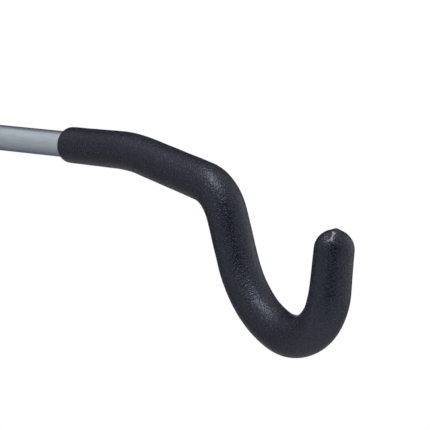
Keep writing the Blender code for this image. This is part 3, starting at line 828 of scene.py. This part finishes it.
def tip_leaning(path, along, turn, polar):
    """Less dip toward one side of the tip, by (1 + n) / 2.

    n is how far the surface faces that side, the cosine of the turn from it
    times the sine of the angle from the tip's axis. It comes in as a bell of
    the distance short of the tip.
    """
    size = settings("coat")
    short = np.clip(path.length - along, 0.0, None)
    side = (1.0 + np.cos(turn - size.tip_lean_turn) * np.sin(polar)) / 2.0
    return size.tip_lean * side * bell(short, size.tip_lean_reach)


def drip_height(forward, sideways, radius):
    """Height of the drip over the dome, at distances along and across its run.

    A nub exp(-d^2 / w^2) at the top. The flat below it lies d / cos(t - m) from
    the dome's middle in a direction t, and ends across the run by exp(-(s/w)^4).
    """
    size = settings("coat")
    away = (forward - size.nub_offset) ** 2 + sideways ** 2
    nub = size.nub_height * np.exp(-away / size.nub_width ** 2)
    lean = np.clip(forward / radius - size.flat_lean, -1.2, 1.2)
    flat = np.minimum((radius - size.flat_depth) / np.cos(lean) - radius, 0.0)
    return nub, flat * np.exp(-(sideways / size.flat_width) ** 4)


def slow_waves(along, turn):
    """The dip's slow coming and going: sines of the distance, twisted round the arm."""
    return (np.sin(along * 170.0 + 1.3 * np.sin(turn + 0.4)) * np.cos(2.0 * turn + along * 40.0)
            + 0.6 * np.sin(along * 260.0 + 2.0 * turn))


def coat_rows(path, dome_radius):
    """Rows of the coat as pairs (distance along, radius), and how many its outside and dome have.

    The bore from the tip to the mouth, a quarter ellipse for the lip, the
    sleeve, then a quarter circle for the dome.
    """
    size = settings("coat")
    bore = path.tube_radius + COAT_GAP
    shoulder = size.start + size.lip_length
    edge = path.tube_radius + size.mouth_thickness - size.lip_height
    cap = np.linspace(QUARTER_TURN, 0.0, 9)[1:]
    quarter = np.linspace(0.0, QUARTER_TURN, 13)[1:]
    polar = np.linspace(0.0, QUARTER_TURN, 64)[1:-1]
    sleeve = np.linspace(shoulder, path.length, SLEEVE_ROWS)[1:]
    share = (sleeve - size.start) / (path.length - size.start)
    parts = (
        stacked(path.length + bore * np.sin(cap), bore * np.cos(cap)),
        stacked(np.linspace(path.length, shoulder, 60)[1:], bore),
        stacked(size.start, np.linspace(bore, edge, 4)),
        stacked(shoulder - size.lip_length * np.cos(quarter), edge + size.lip_height * np.sin(quarter)),
        stacked(sleeve, path.tube_radius + coat_thickness(share)),
        stacked(path.length + dome_radius * np.sin(polar), dome_radius * np.cos(polar)),
    )
    return np.concatenate(parts), len(sleeve) + len(polar), len(polar)


def coat_mesh(name, path):
    """Dipped coat on the arm's line: waved, pooled in the bends, leaning and with a drip."""
    size = settings("coat")
    dome_radius = path.tube_radius + size.tip_thickness
    rows, outer_count, dome_count = coat_rows(path, dome_radius)
    along, radius = rows[:, :1], rows[:, 1:]
    from_end = len(rows) - np.arange(len(rows))[:, None]
    outer = from_end <= outer_count
    on_dome = from_end <= dome_count
    turn = turns(COAT_COLUMNS)
    fade = outer * np.clip((path.length - along) / POOL_FADE, 0.0, 1.0)
    extra = size.waviness * slow_waves(along, turn) + pooled_dip(path, along, turn)
    polar = QUARTER_TURN - np.arcsin(np.clip((along - path.length) / dome_radius, 0.0, 1.0))
    reach = polar * dome_radius
    nub, flat = drip_height(reach * np.cos(turn - size.flat_turn),
                            reach * np.sin(turn - size.flat_turn), dome_radius)
    lift = (nub + flat) * on_dome - tip_leaning(path, along, turn, polar) * outer
    radius = radius + extra * fade + lift * np.sin(polar)
    mesh = closed_mesh(name, [path.points(along + lift * np.cos(polar), turn, radius)])
    polish = np.clip(1.3 * nub / size.nub_height - 3.0 * flat / size.flat_depth, 0.0, 1.0)
    at_poles = (0.0, 1.0)
    values = np.concatenate(((polish * on_dome).reshape(-1), at_poles)).astype(np.float32)
    mesh.attributes.new("polish", "FLOAT", "POINT").data.foreach_set("value", values)
    return mesh


class HOLDER_OT_hook_coats(bpy.types.Operator):
    """Make the thick dipped coats on the two hooks"""

    bl_idname = "bike_holder.hook_coats"
    bl_label = "Hook coats"

    def execute(self, context):
        for side in SIDES:
            coat = coat_mesh(f"{side}_coat", ArmPath(side))
            dress(coat, f"{side}_arm", "black_dip", f"{side}_hook_coat")
        return {"FINISHED"}


def ring_mesh(name, corners, roundings, side):
    """Ring turned about a pivot, whose cross-section is a rounded outline."""
    outline = rounded_outline(corners, roundings)
    grid = place_turned(outline[:, :1], outline[:, 1:], turns(RING_COLUMNS), PIVOTS[side])
    return closed_mesh(name, [grid], ring=True)


def plain_ring_mesh(name, node, outer, inner, rounding, side):
    """Ring with a rectangular section, as high as its node."""
    low, high = node_box(node)
    corners = ((outer, high[2]), (outer, low[2]), (inner, low[2]), (inner, high[2]))
    return ring_mesh(name, corners, (rounding,) * 4, side)


def bush_mesh(name, node, place, sleeve, side):
    """Bush with its flange at the top of an upper bush, or at the bottom of a lower one."""
    size = settings("hinge")
    low, high = node_box(node)
    flange = half_width(node)
    bore = size.bolt_diameter / 2.0 + size.bore_gap
    if place == "upper":
        top, end, under = high[2], low[2], high[2] - size.flange_thickness
    else:
        top, end, under = low[2], high[2], low[2] + size.flange_thickness
    corners = ((flange, top), (flange, under), (sleeve, under), (sleeve, end), (bore, end),
               (bore, top))
    edge = size.bush_rounding
    return ring_mesh(name, corners, (edge, edge, edge / 2, edge, edge / 2, edge / 2), side)


class HOLDER_OT_hinges(bpy.types.Operator):
    """Make the barrels and their flanged bushes"""

    bl_idname = "bike_holder.hinges"
    bl_label = "Barrels and bushes"

    def execute(self, context):
        size = settings("hinge")
        for side in SIDES:
            name, node = f"{side}_barrel", f"{side}_hinge_barrel"
            outer = half_width(node)
            inner = outer - size.barrel_wall
            barrel = plain_ring_mesh(name, node, outer, inner, size.steel_rounding, side)
            dress(barrel, f"{side}_arm", "grey_paint", node, flat_faces=True)
            for place in ("upper", "lower"):
                name, node = f"{side}_{place}_flanged_bush", f"{side}_{place}_bush"
                bush = bush_mesh(name, node, place, inner - size.bore_gap, side)
                dress(bush, f"{side}_arm", "black_nylon", node, flat_faces=True)
        return {"FINISHED"}


def barrel_side(side, x):
    """Y where the back of a barrel passes an x: sqrt(b^2 - x^2) behind its axis."""
    pivot = PIVOTS[side]
    barrel = node_box(f"{side}_hinge_barrel")[1][0] - pivot[0]
    offset = np.clip(np.abs(x - pivot[0]), 0.0, barrel)
    return pivot[1] + np.sqrt(barrel ** 2 - offset ** 2)


def lug_grid(side):
    """Stop lug: a rounded bar from the barrel's side back to the rail's web.

    Its section is a rounded rectangle, drawn in by 1 - sqrt(1 - q^2) over the
    last stretch q, and its root follows the barrel.
    """
    size = settings("hinge")
    low, high = node_box(f"{side}_stop_lug")
    middle = (low + high) / 2.0
    wide, _, tall = (high - low) / 2.0
    corners = ((wide, tall), (-wide, tall), (-wide, -tall), (wide, -tall))
    section = densified(rounded_outline(corners, (size.lug_rounding,) * 4), LUG_SPACING, closed=True)
    across, upward = section.T
    root = barrel_side(side, middle[0] + across) - LUG_LAP
    last = high[1] - size.lug_rounding
    shares = np.linspace(0.0, 1.0, 24)[:, None]
    bar = stacked(middle[0] + across, root + (last - root) * shares, middle[2] + upward)
    stretch = np.linspace(0.0, 1.0, 8)[1:, None]
    inset = size.lug_rounding * (1.0 - np.sqrt(1.0 - stretch ** 2))
    end = stacked(middle[0] + across * (1.0 - inset / wide), last + size.lug_rounding * stretch,
                  middle[2] + upward * (1.0 - inset / tall))
    return np.concatenate((bar, end))


def lug_bead_grid(side, x):
    """Upright weld bead beside the lug: a rippled capsule."""
    size = settings("hinge")
    radius = size.lug_bead_radius
    low, high = node_box(f"{side}_stop_lug")
    half = (high[2] - low[2] - size.lug_bead_inset) / 2.0
    z = np.linspace(-half, half, BEAD_ROWS)[1:-1, None]
    section = turns(BEAD_COLUMNS)
    beyond = np.clip((np.abs(z) - half + radius) / radius, 0.0, 1.0)
    ripple = settings("arm").ripple_depth * ripples(z / size.lug_ripple_pitch, section)
    girth = (radius + ripple) * np.sqrt(1.0 - beyond ** 2)
    y = barrel_side(side, x) + radius * 0.3
    return stacked(x + girth * np.cos(section), y + girth * np.sin(section),
                   (low[2] + high[2]) / 2.0 + z)


class HOLDER_OT_stop_lugs(bpy.types.Operator):
    """Make the stop lugs and the weld beads beside them"""

    bl_idname = "bike_holder.stop_lugs"
    bl_label = "Stop lugs"

    def execute(self, context):
        for side in SIDES:
            node = f"{side}_stop_lug"
            lug = closed_mesh(f"{side}_lug", [lug_grid(side)])
            dress(lug, f"{side}_arm", "grey_paint", node, flat_faces=True)
            beads = [lug_bead_grid(side, corner[0]) for corner in node_box(node)]
            welds = closed_mesh(f"{side}_lug_welds", beads)
            dress(welds, f"{side}_arm", "grey_paint")
        return {"FINISHED"}


def bolt_mesh(name, node, side):
    """Hexagon bolt: chamfered head, plain shank and a helical thread.

    The thread takes away up to its depth by the triangle wave of
    height / pitch - turn / full turn, flattened at crest and root.
    """
    size = settings("hinge")
    low, high = node_box(node)
    flats = high[0] - low[0]
    top, end = high[2], low[2]
    seat = top - size.head_height
    shank = size.bolt_diameter / 2.0
    flat, outside, drop = hexagon_chamfer(flats)
    thread_top = end + size.thread_length
    edge = size.steel_rounding
    corners = (
        (0.0, top), (flat, top), (outside, top - drop), (outside, seat), (shank, seat),
        (shank, end + size.bolt_chamfer), (shank - size.bolt_chamfer, end), (0.0, end),
    )
    roundings = (0.0, edge, edge, edge, edge / 2, edge / 2, edge / 2, 0.0)
    outline = rounded_outline(corners, roundings, closed=False)
    outline = densified(outline, HEX_SPACING, low=seat - FACE_SLACK)
    outline = densified(outline, THREAD_SPACING, high=thread_top)[1:-1]
    radius, height, turn = hexagon_cut(outline, flats)
    phase = height / size.thread_pitch - turn / FULL_TURN
    wave = np.abs(2.0 * (phase - np.floor(phase)) - 1.0)
    cut = np.clip(1.3 * wave - 0.15, 0.0, 1.0)
    start = np.clip((thread_top - height) / size.thread_pitch, 0.0, 1.0)
    finish = np.clip((radius - 0.6 * shank) / (0.4 * shank), 0.0, 1.0)
    on_shank = (radius < shank + FACE_SLACK) & (height < thread_top)
    radius = radius - size.thread_depth * cut * start * finish * on_shank
    return closed_mesh(name, [place_turned(radius, height, turn, PIVOTS[side])])


class HOLDER_OT_pivot_bolts(bpy.types.Operator):
    """Make the pivot bolts and their washers"""

    bl_idname = "bike_holder.pivot_bolts"
    bl_label = "Pivot bolts"

    def execute(self, context):
        size = settings("hinge")
        bore = size.bolt_diameter / 2.0 + size.bore_gap
        for side in SIDES:
            name, node = f"{side}_bolt", f"{side}_pivot_bolt"
            dress(bolt_mesh(name, node, side), "wall_rail", "zinc_plate", node, flat_faces=True)
            for end in ("head", "nut"):
                name, node = f"{side}_{end}_plain_washer", f"{side}_{end}_washer"
                washer = plain_ring_mesh(name, node, half_width(node), bore, size.washer_rounding, side)
                dress(washer, "wall_rail", "zinc_plate", node, flat_faces=True)
        return {"FINISHED"}


def nut_mesh(name, node, side):
    """Lock nut: a turned blank in a hexagonal bar, with a crowned collar round its insert."""
    size = settings("hinge")
    low, high = node_box(node)
    flats = high[0] - low[0]
    top, end = high[2], low[2]
    hex_end = top - size.hex_height
    flat, outside, drop = hexagon_chamfer(flats)
    bore = size.bolt_diameter / 2.0 + size.bore_gap
    collar = size.collar_diameter / 2.0
    mouth = bore + size.insert_wall * 0.85
    groove = hex_end - GROOVE_DEPTH
    edge = size.steel_rounding
    corners = (
        (bore, top), (flat, top), (outside, top - drop), (outside, hex_end + drop),
        (flat, hex_end), (collar, hex_end), (collar, end), (mouth, end), (mouth, groove),
        (bore, groove),
    )
    roundings = (edge, edge, edge, edge, edge, edge, size.collar_crown, edge, edge / 4, edge / 4)
    outline = rounded_outline(corners, roundings)
    outline = densified(outline, HEX_SPACING, low=hex_end, closed=True)
    return closed_mesh(name, [place_turned(*hexagon_cut(outline, flats), PIVOTS[side])], ring=True)


class HOLDER_OT_lock_nuts(bpy.types.Operator):
    """Make the lock nuts and their nylon inserts"""

    bl_idname = "bike_holder.lock_nuts"
    bl_label = "Lock nuts"

    def execute(self, context):
        size = settings("hinge")
        bolt = size.bolt_diameter / 2.0
        outer = bolt + size.bore_gap + size.insert_wall * 0.8
        for side in SIDES:
            name, node = f"{side}_nut", f"{side}_lock_nut"
            dress(nut_mesh(name, node, side), "wall_rail", "zinc_plate", node, flat_faces=True)
            name, node = f"{side}_nylon_ring", f"{side}_lock_nut_insert"
            ring = plain_ring_mesh(name, node, outer, bolt + INSERT_GAP, size.insert_rounding, side)
            dress(ring, "wall_rail", "insert_nylon", node, flat_faces=True)
        return {"FINISHED"}


def rail_front(size, pivot, half_length):
    """Front edge of a flange in plan, as x, depth and the x where each line starts.

    Half a circle round the pivot, a straight side and a hollow fillet down to
    the lip, then the lip to the middle; the other half is its mirror image.
    """
    radius = half_length - pivot[0]
    depth = -pivot[1]
    swing = np.linspace(math.pi, 0.0, 65)
    side_d = np.linspace(depth, size.lip_depth + size.ear_fillet, 6)[1:]
    hollow = np.linspace(math.pi, 1.5 * math.pi, 11)[1:]
    x, d = np.concatenate((
        stacked(-pivot[0] + radius * np.cos(swing), depth + radius * np.sin(swing)),
        stacked(-pivot[0] + radius, side_d),
        stacked(-pivot[0] + radius + size.ear_fillet * (1.0 + np.cos(hollow)),
                size.lip_depth + size.ear_fillet * (1.0 + np.sin(hollow))),
    )).T
    reached = np.concatenate(([0.0], np.cumsum(np.hypot(np.diff(x), np.diff(d)))))
    start = -half_length + (x[-1] + half_length) * reached / reached[-1]
    lip_x = np.linspace(x[-1], 0.0, 30)[1:]
    half = np.concatenate((stacked(x, d, start), stacked(lip_x, size.lip_depth, lip_x)))
    return np.concatenate((half, half[-2::-1] * (-1.0, 1.0, -1.0))).T


def rail_grid():
    """Outer skin of the rail: upper flange, fold, web, fold and lower flange.

    Each column runs from the upper flange's front edge straight to the lip,
    back to the fold, a quarter turn down, down the web and out again.
    """
    size = settings("rail")
    half_length, _, half_height = node_box("wall_rail")[1]
    front_x, front_d, start_x = rail_front(size, PIVOTS["right"], half_length)
    fold = size.fold_radius
    knee = 0.9 * size.lip_depth
    share = np.linspace(1.0, 0.0, 12)[:, None]
    back = np.linspace(knee, fold, 5)[1:, None]
    turn = np.linspace(0.0, QUARTER_TURN, 9)[1:, None]
    web_z = np.linspace(half_height - fold, 0.0, 12)[1:, None]
    upper = np.concatenate((
        stacked(start_x + (front_x - start_x) * share, -knee - (front_d - knee) * share, half_height),
        stacked(start_x, -back, half_height),
        stacked(start_x, fold * (np.sin(turn) - 1.0), half_height - fold * (1.0 - np.cos(turn))),
        stacked(start_x, 0.0, web_z),
    ))
    return np.concatenate((upper, upper[-2::-1] * (1.0, 1.0, -1.0)))


def prism_cutter(name, outline_x, outline_z, low, high, upright):
    """Closed prism on an outline, along Z where upright and else along Y."""
    levels = np.array(((low,), (high,)))
    axes = (outline_x, outline_z, levels) if upright else (outline_x, levels, outline_z)
    return add_object(name, closed_mesh(name, [stacked(*axes)]))


def rail_cutters():
    """Pivot holes through the ears and round-ended slots through the web."""
    size = settings("rail")
    hinge = settings("hinge")
    low, high = node_box("wall_rail")
    turn = turns(CUT_COLUMNS)
    bore = hinge.bolt_diameter / 2.0 + hinge.bore_gap
    past = 0.01
    cutters = []
    for side in SIDES:
        x = PIVOTS[side][0] + bore * np.cos(turn)
        y = PIVOTS[side][1] + bore * np.sin(turn)
        cutters.append(prism_cutter("pivot_hole_cutter", x, y, low[2] - past, high[2] + past, True))
    run = (size.slot_length - size.slot_width) / 2.0
    slot_x = size.slot_width / 2.0 * np.cos(turn) + run * np.sign(np.cos(turn) + 1e-9)
    slot_z = size.slot_width / 2.0 * np.sin(turn)
    depth = size.sheet_thickness
    for across in (-0.5, 0.5):
        for row in (-0.5, 0.5):
            x = across * size.slot_spacing + slot_x
            z = row * size.slot_row_spacing + slot_z
            cutters.append(prism_cutter("slot_cutter", x, z, -2.0 * depth, depth, False))
    return cutters


class HOLDER_OT_wall_rail(bpy.types.Operator):
    """Make the folded wall rail with its ears, holes and slots"""

    bl_idname = "bike_holder.wall_rail"
    bl_label = "Wall rail"

    def execute(self, context):
        size = settings("rail")
        blank = add_object("rail_blank", open_mesh("rail_blank", rail_grid()))
        modify(blank, "SOLIDIFY", thickness=size.sheet_thickness, offset=-1.0, use_even_offset=True)
        cutters = rail_cutters()
        for cutter in cutters:
            modify(blank, "BOOLEAN", operation="DIFFERENCE", solver="EXACT", object=cutter)
        modify(blank, "BEVEL", width=size.edge_rounding, segments=3, limit_method="ANGLE",
               angle_limit=BEVEL_LIMIT)
        graph = context.evaluated_depsgraph_get()
        mesh = bpy.data.meshes.new_from_object(blank.evaluated_get(graph))
        mesh.name = "rail"
        for spare in [blank, *cutters]:
            bpy.data.objects.remove(spare)
        if not mesh.polygons:
            raise RuntimeError("the wall rail came out empty")
        dress(smoothed(mesh), "wall_rail", "grey_paint", "wall_rail", flat_faces=True)
        return {"FINISHED"}


class HOLDER_OT_tube_plugs(bpy.types.Operator):
    """Finish the plugs in the tubes' ends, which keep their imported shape"""

    bl_idname = "bike_holder.tube_plugs"
    bl_label = "Tube plugs"

    def execute(self, context):
        for side in SIDES:
            give_finish(frame["nodes"][f"{side}_tube_end_plug"], "black_nylon")
        return {"FINISHED"}


# Cosine of the angle round the camera's line within which the backdrop and the dim patch lie
BACKDROP_EDGE = 0.985


def room_light(bench, way, towards_camera, rightward):
    """How bright the room is in reflections, by the direction looked in.

    It is dim beside the camera, full from about 45 degrees off, and fades
    again towards what lies behind the holder, more so on the left.
    """
    size = settings("stage")
    off_camera = (BACKDROP_EDGE - bench.reach(way, towards_camera)) * 3.5
    leaning = towards_camera * 0.97 + rightward * size.room_lean
    not_behind = (bench.reach(way, leaning) + 0.80) * 1.25
    beside = off_camera.clamped() * not_behind.clamped()
    return size.dim_level + beside * (size.room_level - size.dim_level)


def seen_rays(bench):
    """1 for what the camera sees straight, and 1 for what it sees mirrored or through glass."""
    camera = bench.add("ShaderNodeLightPath", out="Is Camera Ray")
    glossy = bench.add("ShaderNodeLightPath", out="Is Glossy Ray")
    through = bench.add("ShaderNodeLightPath", out="Is Transmission Ray")
    return camera, (glossy + through).clamped() * (1.0 - camera)


def make_floor(frontward):
    """Round pale floor: the camera sees mostly plain white, with the shadows in the rest.

    In reflections it is plain white in front of the holder and dim behind it.
    """
    size = settings("stage")
    turn = turns(FLOOR_COLUMNS)
    rings = np.linspace(0.0, size.floor_radius, 5)[1:, None]
    top = stacked(rings * np.cos(turn), rings * np.sin(turn), -size.floor_drop)
    under = top[::-1] - (0.0, 0.0, size.floor_thickness)
    floor = add_object("floor", closed_mesh("floor", [np.concatenate((top, under))]))
    bench = new_bench("floor")
    cloud = bench.noise(size=0.8)
    tone = bench.blend(cloud, shade(size.floor_colour, 0.985), shade(size.floor_colour, 1.0))
    matt = bench.add("ShaderNodeBsdfDiffuse", None, {"Color": tone})
    camera, mirrored = seen_rays(bench)
    in_front = bench.reach(bench.where(), frontward) * 2.0 + 0.20
    lit = (camera + in_front.clamped()).clamped()
    level = bench.blend(lit, (*(size.floor_dimness,) * 3, 1.0), WHITE)
    plain = bench.add("ShaderNodeEmission", None, {"Color": level, "Strength": 1.0})
    seen = camera * size.floor_plainness + mirrored
    bench.finish(bench.add("ShaderNodeMixShader", None, {0: seen, 1: matt, 2: plain}))
    give_finish(floor, "floor")


def make_world(towards_camera, rightward):
    """White surroundings, of which reflections show a backdrop's width and a dimmer room."""
    size = settings("stage")
    world = bpy.data.worlds.new("studio")
    bpy.context.scene.world = world
    world.use_nodes = True
    bench = Bench(world.node_tree)
    way = bench.add("ShaderNodeTexCoord", out="Generated")
    behind = bench.reach(way, towards_camera) * -1.0
    backdrop = behind.spread(middle=BACKDROP_EDGE, gain=200.0).clamped()
    shown = room_light(bench, way, towards_camera, rightward) + backdrop * (1.0 - size.dim_level)
    camera, mirrored = seen_rays(bench)
    plain = (1.0 - camera - mirrored).clamped()
    strength = camera + mirrored * shown + plain * size.world_level
    light = bench.add("ShaderNodeBackground", None, {"Color": WHITE, "Strength": strength})
    bench.finish(light, "ShaderNodeOutputWorld")


# Name, direction as seen by the camera (right, up, near), distance, width, height and watts
LAMPS = (
    ("overhead", (-0.03, 0.96, 0.28), 0.70, 0.34, 0.40, 2.9),
    ("right", (0.85, 0.15, -0.50), 1.8, 1.0, 1.2, 1.8),
    ("back left", (-0.53, 0.69, -0.50), 1.5, 0.7, 0.7, 0.5),
)
LIT_POINT = Vector((0.0, -0.23, 0.0))


def add_lamp(name, way, distance, width, height, watts):
    """Soft area lamp in a direction from the lit point, which the camera doesn't see."""
    lamp = bpy.data.lights.new(name, "AREA")
    lamp.shape = "RECTANGLE"
    lamp.size = width
    lamp.size_y = height
    lamp.energy = watts
    holder = add_object(name, lamp)
    holder.location = LIT_POINT + way * distance
    holder.rotation_euler = (-way).to_track_quat("-Z", "Y").to_euler()
    holder.visible_camera = False


class HOLDER_OT_stage(bpy.types.Operator):
    """Set up the camera, the soft lamps, the white surroundings and the floor"""

    bl_idname = "bike_holder.stage"
    bl_label = "Stage"

    def execute(self, context):
        size = settings("stage")
        flat = math.cos(size.elevation)
        back = Vector((math.sin(size.azimuth) * flat, -math.cos(size.azimuth) * flat,
                       math.sin(size.elevation)))
        lens = bpy.data.cameras.new("camera")
        lens.lens = size.lens
        camera = add_object("camera", lens)
        camera.location = Vector(size.aim) + back * size.distance
        camera.rotation_mode = "QUATERNION"
        camera.rotation_quaternion = (-back).to_track_quat("-Z", "Y")
        context.scene.camera = camera
        context.scene.view_settings.view_transform = "Standard"
        across = Vector((math.cos(size.azimuth), math.sin(size.azimuth), 0.0))
        upright = back.cross(across)
        for name, (right, up, near), *sizes in LAMPS:
            add_lamp(name, (across * right + upright * up + back * near).normalized(), *sizes)
        make_floor(Vector((back.x, back.y, 0.0)))
        make_world(back, across)
        return {"FINISHED"}


class HOLDER_PT_panel(bpy.types.Panel):
    """Sizes, finishes and pieces of the holder"""

    bl_label = "Folding wall bike holder"
    bl_idname = "HOLDER_PT_panel"
    bl_space_type = "VIEW_3D"
    bl_region_type = "UI"
    bl_category = "Bike Holder"

    def draw(self, context):
        layout = self.layout
        for operator in OPERATORS:
            layout.operator(operator.bl_idname)
        for name, (group, label) in GROUPS.items():
            box = layout.box()
            box.label(text=label)
            for prop in group.__annotations__:
                box.prop(getattr(context.scene, name), prop)


GROUPS = {
    "holder_arm": (ArmSettings, "Arms"),
    "holder_coat": (CoatSettings, "Hook coats"),
    "holder_hinge": (HingeSettings, "Hinges"),
    "holder_rail": (RailSettings, "Wall rail"),
    "holder_finish": (FinishSettings, "Finishes"),
    "holder_stage": (StageSettings, "Stage"),
}

OPERATORS = (
    HOLDER_OT_stage, HOLDER_OT_finishes, HOLDER_OT_wall_rail, HOLDER_OT_hinges,
    HOLDER_OT_stop_lugs, HOLDER_OT_arm_tubes, HOLDER_OT_hook_coats, HOLDER_OT_pivot_bolts,
    HOLDER_OT_lock_nuts, HOLDER_OT_tube_plugs,
)


def register():
    for name, (group, _) in GROUPS.items():
        bpy.utils.register_class(group)
        setattr(bpy.types.Scene, name, PointerProperty(type=group))
    for operator in OPERATORS:
        bpy.utils.register_class(operator)
    bpy.utils.register_class(HOLDER_PT_panel)


def unregister():
    bpy.utils.unregister_class(HOLDER_PT_panel)
    for operator in reversed(OPERATORS):
        bpy.utils.unregister_class(operator)
    for name, (group, _) in GROUPS.items():
        delattr(bpy.types.Scene, name)
        bpy.utils.unregister_class(group)


def main():
    register()
    bpy.ops.bike_holder.stage()
    bpy.ops.bike_holder.finishes()
    bpy.ops.bike_holder.wall_rail()
    bpy.ops.bike_holder.hinges()
    bpy.ops.bike_holder.stop_lugs()
    bpy.ops.bike_holder.arm_tubes()
    bpy.ops.bike_holder.hook_coats()
    bpy.ops.bike_holder.pivot_bolts()
    bpy.ops.bike_holder.lock_nuts()
    bpy.ops.bike_holder.tube_plugs()


if __name__ == "__main__":
    main()
